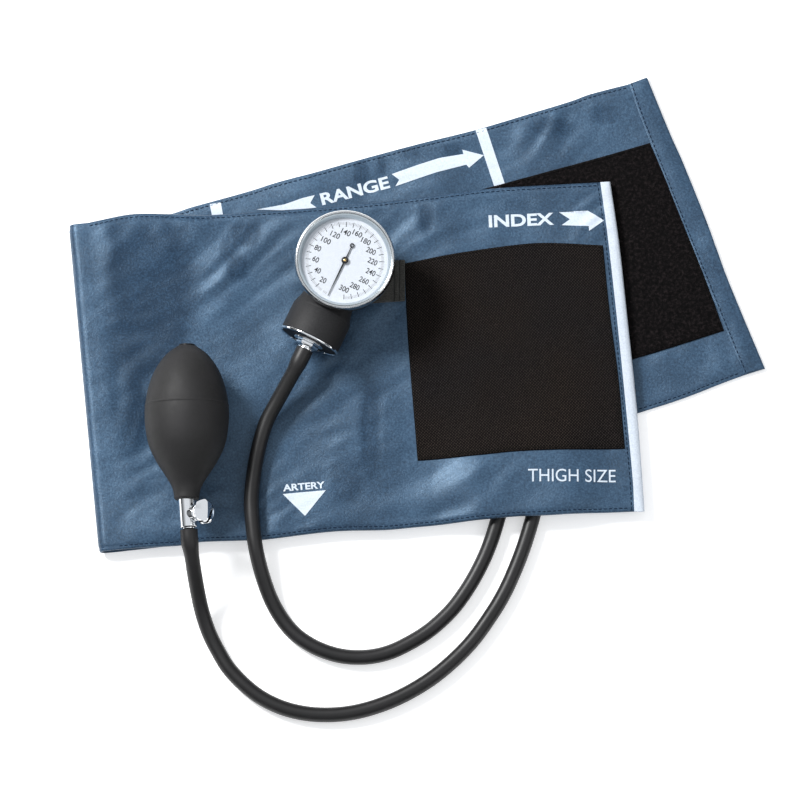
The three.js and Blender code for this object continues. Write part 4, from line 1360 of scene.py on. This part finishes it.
# ---- the bulb and its valves ----
NECK_PLACE = moved(*BULB_NECK, BULB_AXIS_Z)
BULB_PLACE = NECK_PLACE @ rotated(-90, "X")
VALVE_PLACE = NECK_PLACE @ rotated(VALVE_TURN, "Z")
VALVE_BODY_PLACE = VALVE_PLACE @ rotated(90, "X")
KNOB_PLACE = VALVE_PLACE @ moved(0, KNOB_Y, 0) @ rotated(90 - KNOB_TILT, "Y")
BULB_PROFILE = [(6.9, 0.6), (7.3, 4), (8.6, 8), (12.2, 14), (17.2, 22), (21.4, 32), (23.2, 46),
                (21.9, 59), (18.2, 70.5), (12.4, 79.5), (6.2, 84.6), (4.2, 85.4)]
BULB_SEAM = 52.0
SEAM_HEIGHT = 0.26
KNOB_SLOT_TURN = -28.0
KNOB_BEVEL_TURN = -8.0
KNOB_BEVEL = 55.0
KNOB_CUTS = [              # centre, size, turn and lean of each box
    ((1.9, 0.0, 13.6), (1.7, 20.0, 5.6), KNOB_SLOT_TURN, 0.0),
    ((-6.6, 0.0, 14.1), (24.0, 20.0, 8.0), KNOB_BEVEL_TURN, -KNOB_BEVEL),
    ((8.2, 0.0, 16.3), (24.0, 20.0, 8.0), KNOB_BEVEL_TURN, KNOB_BEVEL),
]


def cut_box(piece, centre, size, turn, lean):
    """Cuts a box out of a piece. The box leans about Y, then turns about Z. Millimetres."""
    bpy.ops.mesh.primitive_cube_add(size=1.0)
    box = bpy.context.object
    box.data.transform(rotated(turn, "Z") @ moved(*centre) @ rotated(lean, "Y")
                       @ Matrix.Diagonal([s * MM for s in size] + [1.0]))
    cutter = piece.modifiers.new("cut", "BOOLEAN")
    cutter.operation = "DIFFERENCE"
    cutter.object = box
    bpy.context.view_layer.update()
    mesh = bpy.data.meshes.new_from_object(
        piece.evaluated_get(bpy.context.evaluated_depsgraph_get()))
    piece.modifiers.clear()
    piece.data = mesh
    bpy.data.objects.remove(box)


def bulb():
    side = spline(BULB_PROFILE, 8)
    fine = np.arange(BULB_SEAM - 2, BULB_SEAM + 2, 0.25)
    heights = np.unique(np.concatenate([side[:, 1], fine]))
    radii = np.interp(heights, side[:, 1], side[:, 0])
    radii = radii + SEAM_HEIGHT * np.exp(-((heights - BULB_SEAM) / 0.45) ** 2)
    profile = [(0, 0.0), (6.4, 0.0)] + list(zip(radii, heights)) + [(0, 85.5)]
    turned_piece("squeeze_bulb", profile, BULB_PLACE, "bladder_rubber", "bulb", segments=96,
                 sharp=60)
    inlet = rounded([(0, 84.9), (4.5, 84.9), (4.6, 86.2, 0.4), (1.6, 86.6, 0.3), (1.4, 85.6),
                     (0, 85.6)])
    turned_piece("inlet_valve", inlet, BULB_PLACE, "black_paint", "inlet_valve_body", segments=48)


def valve():
    body = rounded([(0, -1.0), (4.6, -1.0), (4.6, 15.4, 0.5), (3.5, 15.9), (3.4, 16.3),
                    (0, 16.3)])
    boss = rounded([(0, 0), (4.0, 0), (4.2, 5.6, 0.4), (3.6, 6.2, 0.3), (0, 6.3)])
    whole = joined("release_valve", [turned("body", body, VALVE_BODY_PLACE, 48),
                                     turned("boss", boss, KNOB_PLACE, 48)])
    finish_piece(whole, "chrome", "front_half", replaces=["valve_body"])
    collar = rounded([(1.2, 6.6), (4.6, 6.6, 0.3), (4.9, 7.9, 0.3), (1.2, 7.9)])
    turned_piece("collar_ring", collar, KNOB_PLACE, "chrome", "needle_collar", "release_needle",
                 segments=40, closed=True)
    head = rounded([(0, 8.1), (5.4, 8.1, 0.4), (5.7, 8.9, 0.3), (5.5, 9.1), (6.7, 9.4, 0.4),
                    (6.7, 13.3, 0.8), (5.2, 14.4, 0.9), (0, 14.6)], 5)
    knob = turned("thumb_screw_head", head, Matrix.Identity(4), 96)
    for cut in KNOB_CUTS:
        cut_box(knob, *cut)
    knob.data.transform(KNOB_PLACE)
    finish_piece(sharpen(knob), "chrome", "thumb_screw", replaces=["thumb_screw"])


# ---- floor and light ----
FLOOR_Z = -0.0003
WORLD_STOPS = [(0.12, (0.04, 0.042, 0.045)), (0.6, (0.35, 0.36, 0.37)), (0.88, (0.84, 0.86, 0.89))]
LIGHTS = [                 # name, place, size and power
    ("key_light", (-1.2, 0.9, 1.5), 0.6, 60.0),
    ("fill_light", (1.4, -0.5, 1.6), 1.4, 5.0),
]


def area_light(name, place, size, power):
    """A round light that shines at the origin."""
    data = bpy.data.lights.new(name, "AREA")
    data.shape = "DISK"
    data.size = size
    data.energy = power
    light = placed(name, data)
    light.location = place
    light.visible_camera = False
    light.rotation_euler = (-Vector(place)).to_track_quat("-Z", "Y").to_euler()
    return light


def studio():
    bpy.ops.mesh.primitive_plane_add(size=8.0, location=(0, 0, FLOOR_Z))
    floor = bpy.context.object
    floor.name = "floor"
    floor.data.materials.append(Nodes("floor_paint").set(
        Base_Color=(0.92, 0.92, 0.92), Roughness=0.6, Specular_IOR_Level=0.1,
        Emission_Color=(1.0, 1.0, 1.0), Emission_Strength=0.42))
    lights = [area_light(*light) for light in LIGHTS]
    n = Nodes("studio_world", bpy.data.worlds.new("studio_world"), "Background")
    coords = n.new("ShaderNodeTexCoord").outputs["Generated"]
    up = n.new("ShaderNodeSeparateXYZ", Vector=coords).outputs["Z"]
    scene.world = n.set(Color=n.ramp(up, WORLD_STOPS))
    scene.view_settings.view_transform = "Standard"


def paint_cad_nodes():
    """CAD nodes that no finer piece replaces get this scene's materials."""
    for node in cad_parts.values():
        for holder in node.material_slots:
            slot = slot_of(holder.material)
            if slot in MATERIALS:
                holder.material = MATERIALS[slot]


make_camera()
hose("gauge_tube", GAUGE_HOSE, "gauge_hose")
hose("bulb_tube", BULB_HOSE, "bulb_hose")
paint_cad_nodes()
front_piece = front_panel()
tail_piece = tail_panel()
bend_piece, bend_size = bend_panel()
front_ground, tail_ground = Ground(front_piece), Ground(tail_piece)
hook_piece, loop_piece = patches(front_ground, tail_ground)
binding_piece, hem_piece = bindings(front_ground, tail_ground)
front_rows, tail_rows = all_stitching(front_ground, tail_ground, Ground(hook_piece),
                                      Ground(loop_piece), Ground(hem_piece))
tail_prints = prints(TAIL_SHAPES, TAIL_WORDS, tail_ground, "tail")
front_prints = prints(FRONT_SHAPES, FRONT_WORDS, front_ground, "front_half")
gauge()
webbing_loop()
bulb()
valve()
studio()
